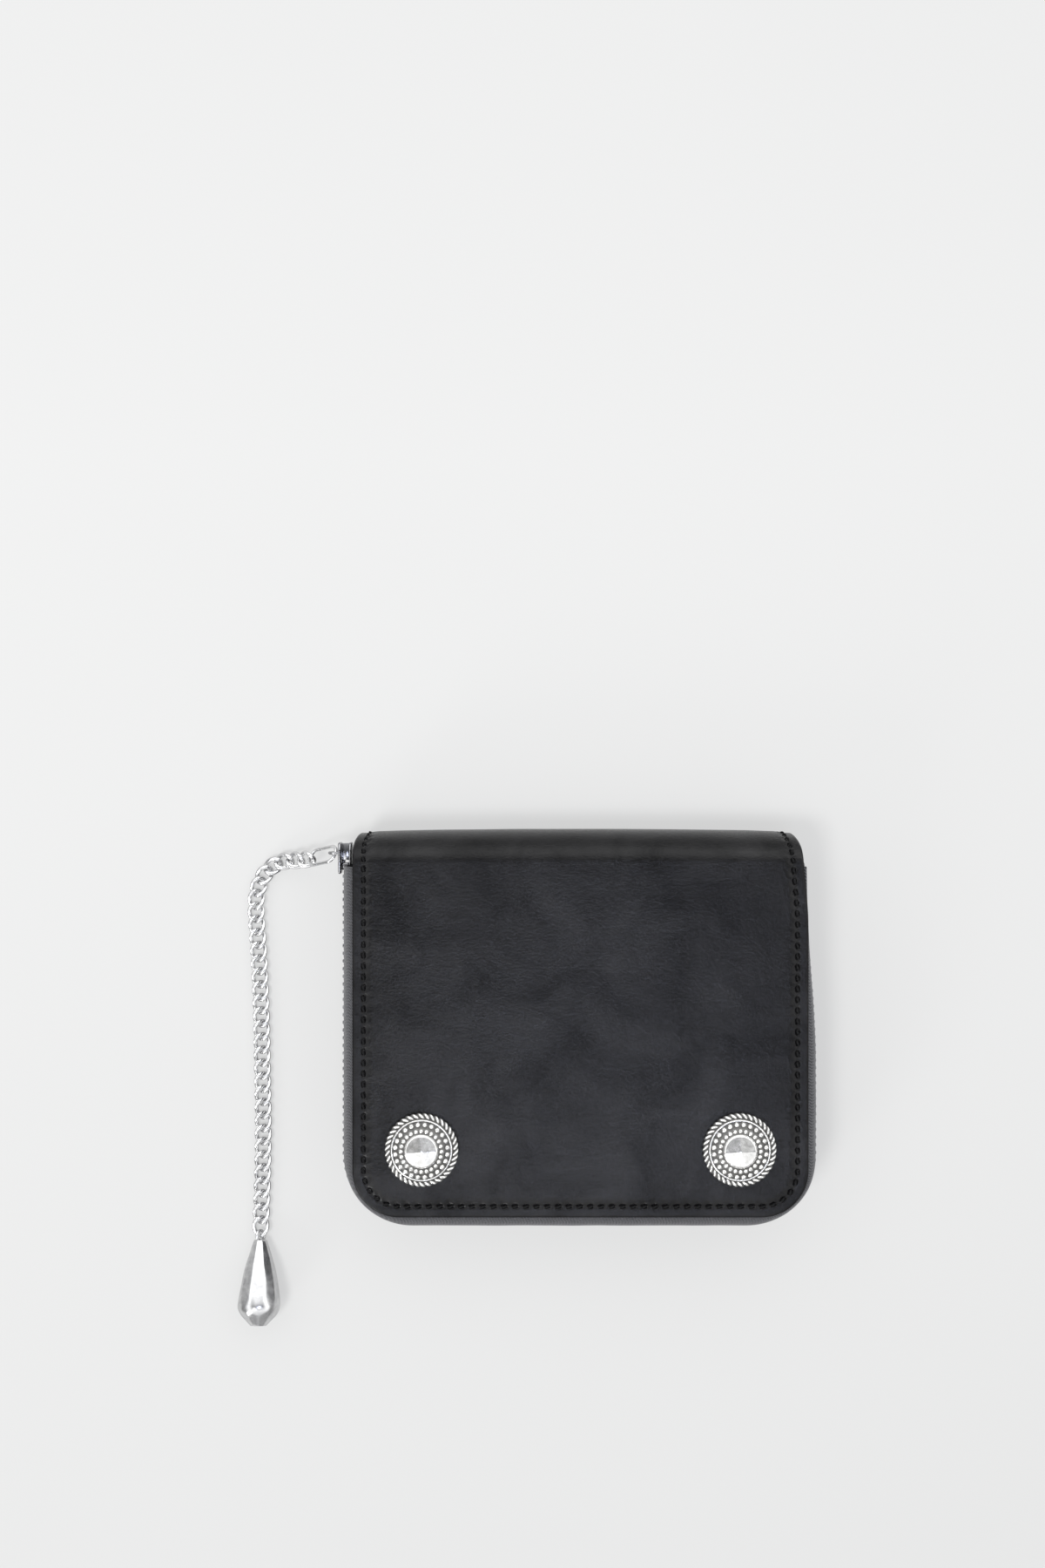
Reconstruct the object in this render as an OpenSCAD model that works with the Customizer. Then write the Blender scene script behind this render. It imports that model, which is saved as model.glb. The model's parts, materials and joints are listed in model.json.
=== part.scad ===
// Zip-around clamshell wallet with a curb chain and drop pendant on its zip slider.
// Row frame: origin at the centre of the back cover's resting face, +X to the wearer's right,
// +Y towards the spine, +Z up through the closed wallet to the front cover.

/* [Cover] */
// Width of the leather cover, side to side
cover_w = 116.5; // [114:0.5:120]
// Depth of the closed cover, spine to bottom edge
cover_d = 99; // [97:0.5:101]
// Thickness of the closed wallet without its conchos
wallet_t = 24; // [24:0.5:26]
// Radius of the cover's two bottom corners
corner_r = 12; // [9:0.5:14]
// How far the spine's half round reaches past the flat covers
spine_reach = 8.3; // [8:0.1:8.6]

/* [Layers] */
// Thickness of the outer leather
leather_t = 1.2; // [1:0.1:1.3]
// Thickness of the fibre board inside each cover
board_t = 0.8; // [0.6:0.1:0.9]
// Thickness of the inner lining leather
lining_t = 0.6; // [0.4:0.1:0.7]
// Distance of the edge seam from the cover's edge
seam_inset = 2.75; // [2.4:0.05:3.2]
// Length from one stitch to the next
stitch_pitch = 2.75; // [2.5:0.05:3.2]

/* [Main zip] */
// How far the tooth line stands out past the cover's sides
zip_out_side = 2.65; // [2.5:0.05:2.8]
// How far the tooth line stands out past the cover's bottom edge
zip_out_bottom = 4; // [3.5:0.1:4.5]
// Radius of the tooth line's corners
zip_corner_r = 16.5; // [15:0.5:18]
// Distance from one tooth to the next in a row
tooth_pitch = 2; // [1.8:0.1:2.4]
// Length of the slider along the zip
slider_len = 8.2; // [7.5:0.1:8.6]

/* [Conchos] */
// Outer diameter of a concho
concho_d = 19; // [17:0.5:20]
// Height of a concho over the leather
concho_h = 4.6; // [4:0.1:5]
// Distance from the wallet's middle to each concho
concho_x = 40.5; // [38:0.5:42]

/* [Chain and drop] */
// Distance from one link to the next
link_pitch = 3.48; // [3.44:0.01:3.5]
// Diameter of the links' wire
link_wire = 1.1; // [1:0.05:1.15]
// Outside width of one link
link_w = 4.7; // [4.5:0.05:4.8]
// Diameter of the pull ring's wire
ring_wire = 1.1; // [1:0.05:1.15]
// Widest width of the drop, across its flats
drop_w = 11.3; // [10:0.1:12]

/* [Pockets] */
// Width of a card slot
card_slot_w = 87; // [86.5:0.5:89]
// Step from one card slot's mouth to the next
card_step = 11; // [9:0.5:12]
// Depth of the coin pocket's space
coin_depth = 3.4; // [2.5:0.1:3.6]

/* [Hidden] */
$fn = 48;

black = [0.06, 0.06, 0.07];
dark = [0.12, 0.12, 0.13];
cloth = [0.16, 0.16, 0.17];
grey = [0.35, 0.35, 0.36];
silver = [0.78, 0.78, 0.8];

// Cover outline and its levels
half_w = cover_w / 2;
bottom_y = -cover_d / 2;
top_y = cover_d / 2;
bend_y = top_y - spine_reach;
slab_top_y = bend_y + 2.3;
mid_z = wallet_t / 2;
spine_cut = 2.3;
spine_gap = 0.05;
half_stack = leather_t + board_t + lining_t;
lining_top_y = bend_y - 0.5;
lining_inset = 1.6;
board_clear = 0.4;

// Edge seam
seam_w = 0.7;
seam_depth = 0.35;
stitch_len = 1.9;
stitch_w = 0.5;
seam_hw = half_w - seam_inset;
seam_y0 = bottom_y + seam_inset;
seam_r = corner_r - seam_inset;
seam_y1 = slab_top_y - 0.6;

// Main zip
zip_hw = half_w + zip_out_side;
zip_y0 = bottom_y - zip_out_bottom;
zip_y1 = 40;
tape_t = 0.6;
tooth_t = 1.6;
tooth_w = 1.1;
tooth_h = 1.9;
row_gap = 1;
tape_top_z = mid_z - row_gap / 2 - tooth_h;
tape_foot = 4;

// Slider of the main zip
slider_y = 41.9;
plate_gap = 0.25;
outer_plate_t = 0.8;
outer_lip_t = 0.7;
inner_lip_t = 0.4;
lip_h = 1;
inner_plate_t = 0.6;
plate_h = 7.6;
web_t = 0.4;
web_len = 2;
slider_face_x = -zip_hw - tooth_t / 2 - plate_gap - outer_plate_t;
bail_y = 43.2;
bail_r = 1.7;
bail_wire = 0.9;
bail_leg = 0.5;

// Card pockets stand on the back lining and coin pocket hangs from the front lining
pocket_wall = 0.8;
pocket_gap = 0.4;
bill_top_y = 34;
card_top_y = 30;
pocket_y0 = -43;
coin_hw = 46;
coin_y0 = -40;
coin_y1 = 31;
coin_zip_y = 21;
coin_slot = 3.4;
coin_wall = 0.8;
seam_gap = 0.02;
coin_face_z = wallet_t - half_stack - coin_depth - coin_wall;

// Coin zip
coin_zip_hw = 42;
coin_tooth_pitch = 1.6;
coin_tooth_t = 1.6;
coin_tooth_h = 1.5;
coin_tooth_w = 0.9;
coin_zip_z = coin_face_z + coin_wall / 2;
coin_slider_x = -37;
coin_plate_gap = 0.3;
coin_plate_t = 0.8;
coin_plate_z = coin_zip_z - coin_tooth_t / 2 - coin_plate_gap;
coin_bar_z = coin_plate_z - coin_plate_t - 0.75;
coin_eye_r = 1;
coin_eye_wire = 0.7;
coin_bar_r = 0.4;
coin_tab_len = 8;

// Conchos
concho_y = -32;
concho_r = concho_d / 2;
rope_r = 0.85;
screw_r = 1.25;
screw_head_r = 2.8;
washer_r = 3.8;

// Pull ring: it slopes from the bail down and away from the wallet
ring_len = 10;
ring_half_w = 2.3;
ring_plan = 193;
ring_slope = 40.8;
ring_roll = 38;
ring_pivot = [slider_face_x - bail_leg - 0.4, bail_y, mid_z];
ring_dir = [cos(ring_slope) * cos(ring_plan), cos(ring_slope) * sin(ring_plan), -sin(ring_slope)];

// Curb chain: links follow this route, on the table after the first few
link_play = 0.2;
link_reach = (link_pitch + link_wire + link_play) / 2;
link_half_w = (link_w - link_wire) / 2;
link_twist = 45;
link_square = 2.4;
links_per_run = 4;
chain_runs = 8;
link_count = links_per_run * chain_runs;
chain_z = 1.3;
chain_start = ring_pivot + (ring_len - (link_wire + link_play) / 2) * ring_dir;
chain_route = [chain_start, [-73.8, 41.0, 3.9], [-77.2, 40.9, 2.2], [-80.6, 40.0, chain_z],
    [-83.3, 37.6, chain_z], [-85.0, 34.4, chain_z], [-85.7, 31, chain_z], [-85.6, 25, chain_z],
    [-85.1, 18, chain_z], [-84.6, 8, chain_z], [-84.2, -4, chain_z], [-84, -16, chain_z],
    [-83.8, -28, chain_z], [-83.9, -40, chain_z], [-84.2, -50, chain_z], [-84.4, -56, 1.6],
    [-84.6, -62, 2.2], [-84.7, -66, 2.2]];

// Drop pendant: distance along its axis from the neck, and radius there across the flats
drop_half = drop_w / 2;
drop_profile = [[0, 1.5], [2, 2.05], [7.4, 3.6], [12.5, 4.5], [17.2, drop_half], [20.6, 3.75],
    [22.4, 1.55]];
drop_sides = 8;
drop_tilt = atan((drop_half - drop_profile[2].y) / (drop_profile[4].x - drop_profile[2].x));
eye_r = 1.3;
eye_wire = 0.8;
eye_offset = 0.7;
neck_gap = eye_r - 0.5;

// ---- Route of the chain ----

function spline_point(a, b, c, d, t) =
    0.5 * (2 * b + (c - a) * t + (2 * a - 5 * b + 4 * c - d) * t * t
        + (3 * b - a - 3 * c + d) * t * t * t);
route_steps = 12;
route_last = len(chain_route) - 1;
route_fine = [for (i = [0 : route_last - 1], k = [0 : route_steps - 1])
    spline_point(chain_route[max(i - 1, 0)], chain_route[i], chain_route[i + 1],
        chain_route[min(i + 2, route_last)], k / route_steps)];
function walked(i, pitch, at, left) =
    let (step = route_fine[i + 1] - at)
    norm(step) > left ? [i, at + step * left / norm(step)]
        : walked(i + 1, pitch, route_fine[i + 1], left - norm(step));
function pivots_from(count, i, at) =
    count == 0 ? []
        : let (next = walked(i, link_pitch, at, link_pitch))
            concat([next[1]], pivots_from(count - 1, next[0], next[1]));
pivots = concat([chain_start], pivots_from(link_count, 0, chain_start));

// ---- One twisted link as a swept closed tube ----

link_rings = 22;
link_sides = 8;
function unit(v) = v / norm(v);
function power_of(v, e) = sign(v) * pow(abs(v), e);
function link_line(t) =
    let (x = link_reach * power_of(cos(t), 2 / link_square),
        w = link_half_w * power_of(sin(t), 2 / link_square), roll = link_twist * x / link_reach)
    [x, w * cos(roll), w * sin(roll)];
function link_ring(t) =
    let (here = link_line(t), roll = link_twist * here.x / link_reach, flat = [0, -sin(roll), cos(roll)],
        along = unit(link_line(t + 2) - link_line(t - 2)), up = unit(flat - (flat * along) * along),
        out = cross(along, up))
    [for (k = [0 : link_sides - 1])
        here + link_wire / 2 * (cos(k * 360 / link_sides) * up + sin(k * 360 / link_sides) * out)];
link_points = [for (i = [0 : link_rings - 1]) each link_ring((i + 0.5) * 360 / link_rings)];
link_faces = [for (i = [0 : link_rings - 1], k = [0 : link_sides - 1])
    let (j = (i + 1) % link_rings, m = (k + 1) % link_sides)
    [i * link_sides + k, i * link_sides + m, j * link_sides + m, j * link_sides + k]];

module curb_link(from, to) {
    along = unit(to - from);
    side = unit(cross([0, 0, 1], along));
    up = cross(along, side);
    middle = (from + to) / 2;
    points = [for (p = link_points) middle + p.x * along + p.y * side + p.z * up];
    polyhedron(points, link_faces, convexity = 4);
}

module chain_run(run) {
    color(silver)
        for (i = [(run - 1) * links_per_run : run * links_per_run - 1])
            curb_link(pivots[i], pivots[i + 1]);
}

// ---- Outlines ----

// Flat shape with a straight top at y1 and two round corners at y0
module cover_shape(hw, y0, r, y1) {
    translate([-hw + r, y0]) square([2 * (hw - r), y1 - y0]);
    translate([-hw, y0 + r]) square([2 * hw, y1 - y0 - r]);
    for (side = [-1, 1]) translate([side * (hw - r), y0 + r]) circle(r, $fn = 96);
}

// Band of width w that follows the same outline on three sides
module cover_band(hw, y0, r, y1, w) {
    difference() {
        cover_shape(hw + w / 2, y0 - w / 2, r + w / 2, y1);
        translate([0, -1]) cover_shape(hw - w / 2, y0 + w / 2 + 1, r - w / 2, y1 + 2);
    }
}

// Place and heading at a distance along that outline, from its top left end
function edge_at(s, hw, y0, r, y1) =
    let (side = y1 - y0 - r, arc = PI * r / 2, flat = 2 * (hw - r), a = (s - side) / r * 180 / PI,
        b = (s - side - arc - flat) / r * 180 / PI)
    s < side ? [-hw, y1 - s, 270]
        : s < side + arc ? [-hw + r - r * cos(a), y0 + r - r * sin(a), 270 + a]
        : s < side + arc + flat ? [-hw + r + s - side - arc, y0, 0]
        : s < side + 2 * arc + flat ? [hw - r + r * sin(b), y0 + r - r * cos(b), b]
        : [hw, y0 + r + s - side - 2 * arc - flat, 90];
function edge_len(hw, y0, r, y1) = 2 * (y1 - y0 - r) + PI * r + 2 * (hw - r);

// Small blocks set along the outline
module along_edge(hw, y0, r, y1, pitch, offset, block, z) {
    count = floor((edge_len(hw, y0, r, y1) - offset) / pitch);
    for (i = [0 : count - 1]) {
        spot = edge_at(offset + (i + 0.5) * pitch, hw, y0, r, y1);
        translate([spot.x, spot.y, z])
            rotate(spot.z) translate([-block.x / 2, -block.y / 2, 0]) cube(block);
    }
}

// Mirror image of a back-half piece, in the closed wallet's middle plane
module to_front() {
    translate([0, 0, wallet_t]) mirror([0, 0, 1]) children();
}

// ---- Covers ----

module cover_leather() {
    difference() {
        linear_extrude(leather_t) cover_shape(half_w, bottom_y, corner_r, slab_top_y);
        translate([0, 0, -1]) linear_extrude(1 + seam_depth)
            cover_band(seam_hw, seam_y0, seam_r, seam_y1, seam_w);
    }
}

module cover_board() {
    inset = tape_foot + board_clear;
    translate([0, 0, leather_t]) linear_extrude(board_t)
        cover_shape(half_w - inset, bottom_y + inset, corner_r - inset, lining_top_y);
}

module cover_lining() {
    translate([0, 0, leather_t + board_t]) linear_extrude(lining_t)
        cover_shape(half_w - lining_inset, bottom_y + lining_inset, corner_r - lining_inset, lining_top_y);
}

module cover_stitches() {
    along_edge(seam_hw, seam_y0, seam_r, seam_y1, stitch_pitch, 0.4,
        [stitch_len, stitch_w, seam_depth - 0.05], 0.05);
}

module back_leather() { color(black) cover_leather(); }
module back_board() { color(grey) cover_board(); }
module back_lining() { color(dark) cover_lining(); }
module back_stitching() { color(dark) cover_stitches(); }

module front_leather() {
    color(black) difference() {
        to_front() cover_leather();
        at_conchos() translate([0, 0, wallet_t - leather_t - 1])
            cylinder(r = screw_r + 0.15, h = leather_t + 2);
    }
}

module front_board() {
    color(grey) difference() {
        to_front() cover_board();
        at_conchos() translate([0, 0, wallet_t - half_stack]) cylinder(r = washer_r + 0.3, h = half_stack);
    }
}

module front_lining() { color(dark) to_front() cover_lining(); }
module front_stitching() { color(dark) to_front() cover_stitches(); }

// ---- Spine ----

// Half-ellipse shell cut to a height range, as a solid across the cover's width
module spine_shell(reach, half, t, z_cut, hw) {
    rotate([90, 0, 90]) translate([0, 0, -hw]) linear_extrude(2 * hw) intersection() {
        difference() {
            spine_half(reach, half);
            spine_half(reach - t, half - t);
        }
        translate([bend_y - 1, z_cut]) square([reach + 2, wallet_t - 2 * z_cut]);
    }
}

module spine_half(reach, half) {
    steps = 24;
    polygon([for (i = [0 : steps]) let (a = -90 + 180 * i / steps)
        [bend_y + reach * cos(a), mid_z + half * sin(a)]]);
}

module spine_leather() {
    color(black) difference() {
        spine_shell(spine_reach, mid_z, leather_t, spine_cut, half_w);
        for (side = [-1, 1]) translate([side * seam_hw, 0, 0]) spine_groove();
    }
}

// Groove for the seam, run up over the spine near each end
module spine_groove() {
    rotate([90, 0, 90]) translate([0, 0, -seam_w / 2]) linear_extrude(seam_w) difference() {
        translate([bend_y, 0]) square([spine_reach + 1, wallet_t]);
        spine_half(spine_reach - seam_depth, mid_z - seam_depth);
    }
}

module spine_lining() {
    inward = leather_t + spine_gap;
    color(dark)
        spine_shell(spine_reach - inward, mid_z - inward, lining_t, spine_cut + 1, half_w - lining_inset);
}

module spine_stitching() {
    count = 7;
    last_turn = 54;
    stitch_h = 0.25;
    color(dark) for (side = [-1, 1], i = [0 : count - 1]) {
        a = -last_turn + 2 * last_turn * i / (count - 1);
        y = bend_y + (spine_reach - seam_depth) * cos(a);
        z = mid_z + (mid_z - seam_depth) * sin(a);
        translate([side * seam_hw, y, z]) rotate([atan2(mid_z * cos(a), -spine_reach * sin(a)), 0, 0])
            translate([-stitch_w / 2, -stitch_len / 2, -stitch_h]) cube([stitch_w, stitch_len, stitch_h]);
    }
}

// ---- Main zip ----

// Tape of one half: a foot sewn under the cover's edge and a wall that stands up to the teeth
module half_zip_tape() {
    side = tape_t / 2;
    difference() {
        translate([0, 0, leather_t]) linear_extrude(tape_top_z - leather_t)
            cover_shape(zip_hw + side, zip_y0 - side, zip_corner_r + side, zip_y1 + 1);
        translate([0, -1, leather_t + tape_t]) linear_extrude(wallet_t)
            cover_shape(zip_hw - side, zip_y0 + side + 1, zip_corner_r - side, zip_y1 + 3);
        translate([0, -1, 0]) linear_extrude(wallet_t)
            cover_shape(half_w - tape_foot, bottom_y + tape_foot + 1, corner_r - tape_foot, zip_y1 + 3);
    }
}

module zip_teeth(offset) {
    along_edge(zip_hw, zip_y0, zip_corner_r, zip_y1, tooth_pitch, offset, [tooth_w, tooth_t, tooth_h],
        tape_top_z);
}

// Stops clamped on the tape at both ends of one row of teeth
module zip_stops() {
    for (side = [-1, 1])
        translate([side * zip_hw - tooth_t / 2, zip_y1 - 0.4, tape_top_z]) cube([tooth_t, 1.4, tooth_h]);
}

module back_zip_tape() { color(cloth) half_zip_tape(); }
module front_zip_tape() { color(cloth) to_front() half_zip_tape(); }
module back_zip_teeth() { color(grey) zip_teeth(0.8); }
module front_zip_teeth() { color(grey) to_front() zip_teeth(0.8 + tooth_pitch / 2); }
module back_zip_stops() { color(grey) zip_stops(); }
module front_zip_stops() { color(grey) to_front() zip_stops(); }

module zip_slider_body() {
    outer_x = -zip_hw - tooth_t / 2 - plate_gap;
    inner_x = -zip_hw + tooth_t / 2 + plate_gap;
    color(silver) translate([0, slider_y - slider_len / 2, mid_z - plate_h / 2]) {
        translate([outer_x - outer_plate_t, 0, 0]) cube([outer_plate_t, slider_len, plate_h]);
        translate([inner_x, 0, 0]) cube([inner_plate_t, slider_len, plate_h]);
        translate([outer_x - 0.01, 0, 0]) cube([outer_lip_t, slider_len, lip_h]);
        translate([inner_x - inner_lip_t, 0, 0]) cube([inner_lip_t + 0.01, slider_len, lip_h]);
        translate([outer_x - 0.01, slider_len - web_len, plate_h / 2 - web_t / 2])
            cube([inner_x - outer_x + 0.02, web_len, web_t]);
    }
}

// Wire eye on the slider's outer plate that holds the ring
module eye_loop(r, wire, leg) {
    rotate([90, 0, 0]) translate([-leg, 0, 0]) {
        rotate(90) rotate_extrude(angle = 180) translate([r, 0]) circle(wire / 2);
        for (side = [-1, 1]) translate([0, side * r, 0]) rotate([0, 90, 0]) cylinder(d = wire, h = leg);
    }
}

module zip_slider_bail() {
    color(silver) translate([slider_face_x, bail_y, mid_z]) eye_loop(bail_r, bail_wire, bail_leg);
}

// ---- Back half pockets ----

// Flat pocket open at its top: a panel with a shallow recess on its lower face
module flat_pocket(hw, y0, y1, z, wall, gap, slot_hw) {
    translate([0, 0, z]) difference() {
        translate([-hw, y0, 0]) cube([2 * hw, y1 - y0, wall + gap]);
        translate([-slot_hw, y0 + 3, -1]) cube([2 * slot_hw, y1 - y0, 1 + gap]);
    }
}

module bill_pocket_panel() {
    color(black) flat_pocket(52.5, pocket_y0, bill_top_y, half_stack, pocket_wall, pocket_gap, 50);
}

module card_pocket(i) {
    level = half_stack + i * (pocket_wall + pocket_gap);
    color(black) flat_pocket(card_slot_w / 2 + 3, pocket_y0 + 0.5, card_top_y - (i - 1) * card_step, level,
        pocket_wall, pocket_gap, card_slot_w / 2);
}

module card_pocket_1() { card_pocket(1); }
module card_pocket_2() { card_pocket(2); }
module card_pocket_3() { card_pocket(3); }
module card_pocket_4() { card_pocket(4); }

// ---- Coin pocket on the front half ----

module coin_pocket_gusset() {
    color(dark) translate([0, 0, coin_face_z + coin_wall]) linear_extrude(coin_depth) difference() {
        translate([-coin_hw, coin_y0]) square([2 * coin_hw, coin_y1 - coin_y0]);
        translate([-coin_hw + coin_wall, coin_y0 + coin_wall])
            square([2 * (coin_hw - coin_wall), coin_y1 - coin_y0 - 2 * coin_wall]);
    }
}

module coin_pocket_face() {
    color(black) difference() {
        translate([-coin_hw, coin_y0, coin_face_z]) cube([2 * coin_hw, coin_zip_y - coin_y0, coin_wall]);
        coin_window();
    }
}

module coin_pocket_flap() {
    color(black) difference() {
        translate([-coin_hw, coin_zip_y + seam_gap, coin_face_z])
            cube([2 * coin_hw, coin_y1 - coin_zip_y - seam_gap, coin_wall]);
        coin_window();
    }
}

// Window in the coin pocket's face that the zip fills
module coin_window() {
    translate([-coin_zip_hw, coin_zip_y - coin_slot, coin_face_z - 1])
        cube([2 * coin_zip_hw, 2 * coin_slot, coin_wall + 2]);
}

module coin_zip_tapes() {
    inner = row_gap / 2 + coin_tooth_h;
    color(cloth) for (side = [-1, 1])
        translate([-coin_zip_hw, coin_zip_y + (side > 0 ? inner : -coin_slot), coin_zip_z - 0.2])
            cube([2 * coin_zip_hw, coin_slot - inner, 0.4]);
}

// Lower edge of the coin zip's row of teeth on one side
function coin_row_y(side) = coin_zip_y + (side > 0 ? row_gap / 2 : -row_gap / 2 - coin_tooth_h);

module coin_zip_teeth() {
    count = floor(2 * (coin_zip_hw - 2) / coin_tooth_pitch);
    color(grey) for (side = [-1, 1], i = [0 : count - 1])
        translate([-coin_zip_hw + 2 + (i + 0.25 + side / 4) * coin_tooth_pitch, coin_row_y(side),
            coin_zip_z - coin_tooth_t / 2]) cube([coin_tooth_w, coin_tooth_h, coin_tooth_t]);
}

module coin_zip_stops() {
    color(grey) for (end = [-1, 1], side = [-1, 1])
        translate([end * (coin_zip_hw - 0.9) - 0.6, coin_row_y(side), coin_zip_z - coin_tooth_t / 2])
            cube([1.2, coin_tooth_h, coin_tooth_t]);
}

module coin_slider_body() {
    len = 6.6;
    width = 6;
    inner_z = coin_zip_z + coin_tooth_t / 2 + coin_plate_gap;
    color(silver) translate([coin_slider_x - len / 2, coin_zip_y - width / 2, 0]) {
        translate([0, 0, coin_plate_z - coin_plate_t]) cube([len, width, coin_plate_t]);
        translate([0, 0, inner_z]) cube([len, width, 0.5]);
        translate([0, width / 2 - web_t / 2, coin_plate_z - 0.01])
            cube([web_len, web_t, inner_z - coin_plate_z + 0.02]);
    }
}

module coin_slider_bail() {
    color(silver) translate([coin_slider_x, coin_zip_y, coin_plate_z - coin_plate_t])
        rotate([0, -90, 0]) eye_loop(coin_eye_r, coin_eye_wire, 0.7);
}

module coin_pull_tab() {
    tab_w = 4.2;
    hole_w = 2.2;
    color(silver) translate([coin_slider_x, coin_zip_y, coin_bar_z]) {
        rotate([90, 0, 0]) translate([0, 0, -tab_w / 2]) cylinder(r = coin_bar_r, h = tab_w);
        difference() {
            translate([0, -tab_w / 2, -coin_bar_r]) cube([coin_tab_len, tab_w, 2 * coin_bar_r]);
            translate([-1, -hole_w / 2, -1]) cube([3, hole_w, 2]);
        }
    }
}

// ---- Conchos ----

module at_conchos() {
    for (side = [-1, 1]) translate([side * concho_x, concho_y, 0]) children();
}

module torus(r, wire_r) {
    rotate_extrude() translate([r, 0]) circle(wire_r, $fn = 24);
}

// Cast rosette: disc, rope border, two bead rings, smooth ridge and a shallow cone in the middle
module concho_rosette(side) {
    disc_h = 1.2;
    boss_r = 2.2;
    color(silver) translate([side * concho_x, concho_y, wallet_t]) difference() {
        union() {
            cylinder(r = concho_r - rope_r, h = disc_h);
            translate([0, 0, rope_r]) torus(concho_r - rope_r, rope_r);
            translate([0, 0, disc_h + 0.2]) torus(7.4, 0.35);
            translate([0, 0, disc_h + 0.2]) torus(6.4, 0.6);
            translate([0, 0, disc_h + 0.4]) torus(5.0, 0.55);
            cylinder(r = 4.3, h = disc_h + 0.8);
            translate([0, 0, disc_h + 0.8]) cylinder(r1 = 4.1, r2 = 0.4, h = concho_h - disc_h - 0.8);
        }
        translate([0, 0, -1]) cylinder(r = screw_r + 0.05, h = 3.2);
    }
}

// Screw that holds the concho: its head lies in the board under a washer
module concho_screw(side) {
    under = wallet_t - leather_t - board_t;
    color(silver) translate([side * concho_x, concho_y, under]) {
        cylinder(r = screw_head_r, h = 0.4);
        cylinder(r = screw_r, h = wallet_t - under + 2);
    }
}

module concho_washer(side) {
    under = wallet_t - leather_t - board_t + 0.4;
    color(grey) translate([side * concho_x, concho_y, under]) difference() {
        cylinder(r = washer_r, h = board_t - 0.4);
        translate([0, 0, -1]) cylinder(r = screw_r + 0.1, h = 3);
    }
}

module left_concho_rosette() { concho_rosette(-1); }
module right_concho_rosette() { concho_rosette(1); }
module left_concho_screw() { concho_screw(-1); }
module right_concho_screw() { concho_screw(1); }
module left_concho_washer() { concho_washer(-1); }
module right_concho_washer() { concho_washer(1); }

// ---- Pull ring, chain and drop ----

// Flat ring with round ends: its near wire passes through the bail at the origin
module long_ring(len, half, wire) {
    straight = len - 2 * half;
    for (side = [-1, 1])
        translate([half, side * half, 0]) rotate([0, 90, 0]) cylinder(d = wire, h = straight);
    for (end = [0, 1]) translate([half + end * straight, 0, 0]) rotate(90 - 180 * end)
        rotate_extrude(angle = 180) translate([half, 0]) circle(wire / 2, $fn = 32);
}

module pull_ring() {
    color(silver) translate(ring_pivot) rotate([ring_roll, ring_slope, ring_plan])
        long_ring(ring_len, ring_half_w, ring_wire);
}

module chain_links_1() { chain_run(1); }
module chain_links_2() { chain_run(2); }
module chain_links_3() { chain_run(3); }
module chain_links_4() { chain_run(4); }
module chain_links_5() { chain_run(5); }
module chain_links_6() { chain_run(6); }
module chain_links_7() { chain_run(7); }
module chain_links_8() { chain_run(8); }

// Faceted drop that lies on one of its flats, with an eye cast on its neck
module drop_pendant() {
    hang = pivots[link_count];
    flat_to_corner = 1 / cos(180 / drop_sides);
    outline = concat([[0, 0]], [for (p = drop_profile) [p.y * flat_to_corner, p.x]],
        [[0, drop_profile[6].x]]);
    color(silver) translate(hang) rotate([90 - drop_tilt, 0, 0]) {
        translate([0, 0, eye_offset]) rotate([0, 0, -45]) rotate([90, 0, 0]) torus(eye_r, eye_wire / 2);
        translate([0, 0, eye_offset + neck_gap]) rotate(180 / drop_sides)
            rotate_extrude($fn = drop_sides) polygon(outline);
    }
}

back_leather();
back_board();
back_lining();
back_stitching();
back_zip_tape();
back_zip_teeth();
back_zip_stops();
bill_pocket_panel();
card_pocket_1();
card_pocket_2();
card_pocket_3();
card_pocket_4();
spine_leather();
spine_lining();
spine_stitching();
front_leather();
front_board();
front_lining();
front_stitching();
front_zip_tape();
front_zip_teeth();
front_zip_stops();
coin_pocket_gusset();
coin_pocket_face();
coin_pocket_flap();
coin_zip_tapes();
coin_zip_teeth();
coin_zip_stops();
left_concho_rosette();
right_concho_rosette();
left_concho_screw();
right_concho_screw();
left_concho_washer();
right_concho_washer();
zip_slider_body();
zip_slider_bail();
coin_slider_body();
coin_slider_bail();
coin_pull_tab();
pull_ring();
chain_links_1();
chain_links_2();
chain_links_3();
chain_links_4();
chain_links_5();
chain_links_6();
chain_links_7();
chain_links_8();
drop_pendant();
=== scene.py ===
"""Looks of the zip-around wallet: leather, zip, conchos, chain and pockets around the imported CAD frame."""
import json
import math

import bmesh
import bpy
import numpy as np
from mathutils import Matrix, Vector, noise


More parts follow.
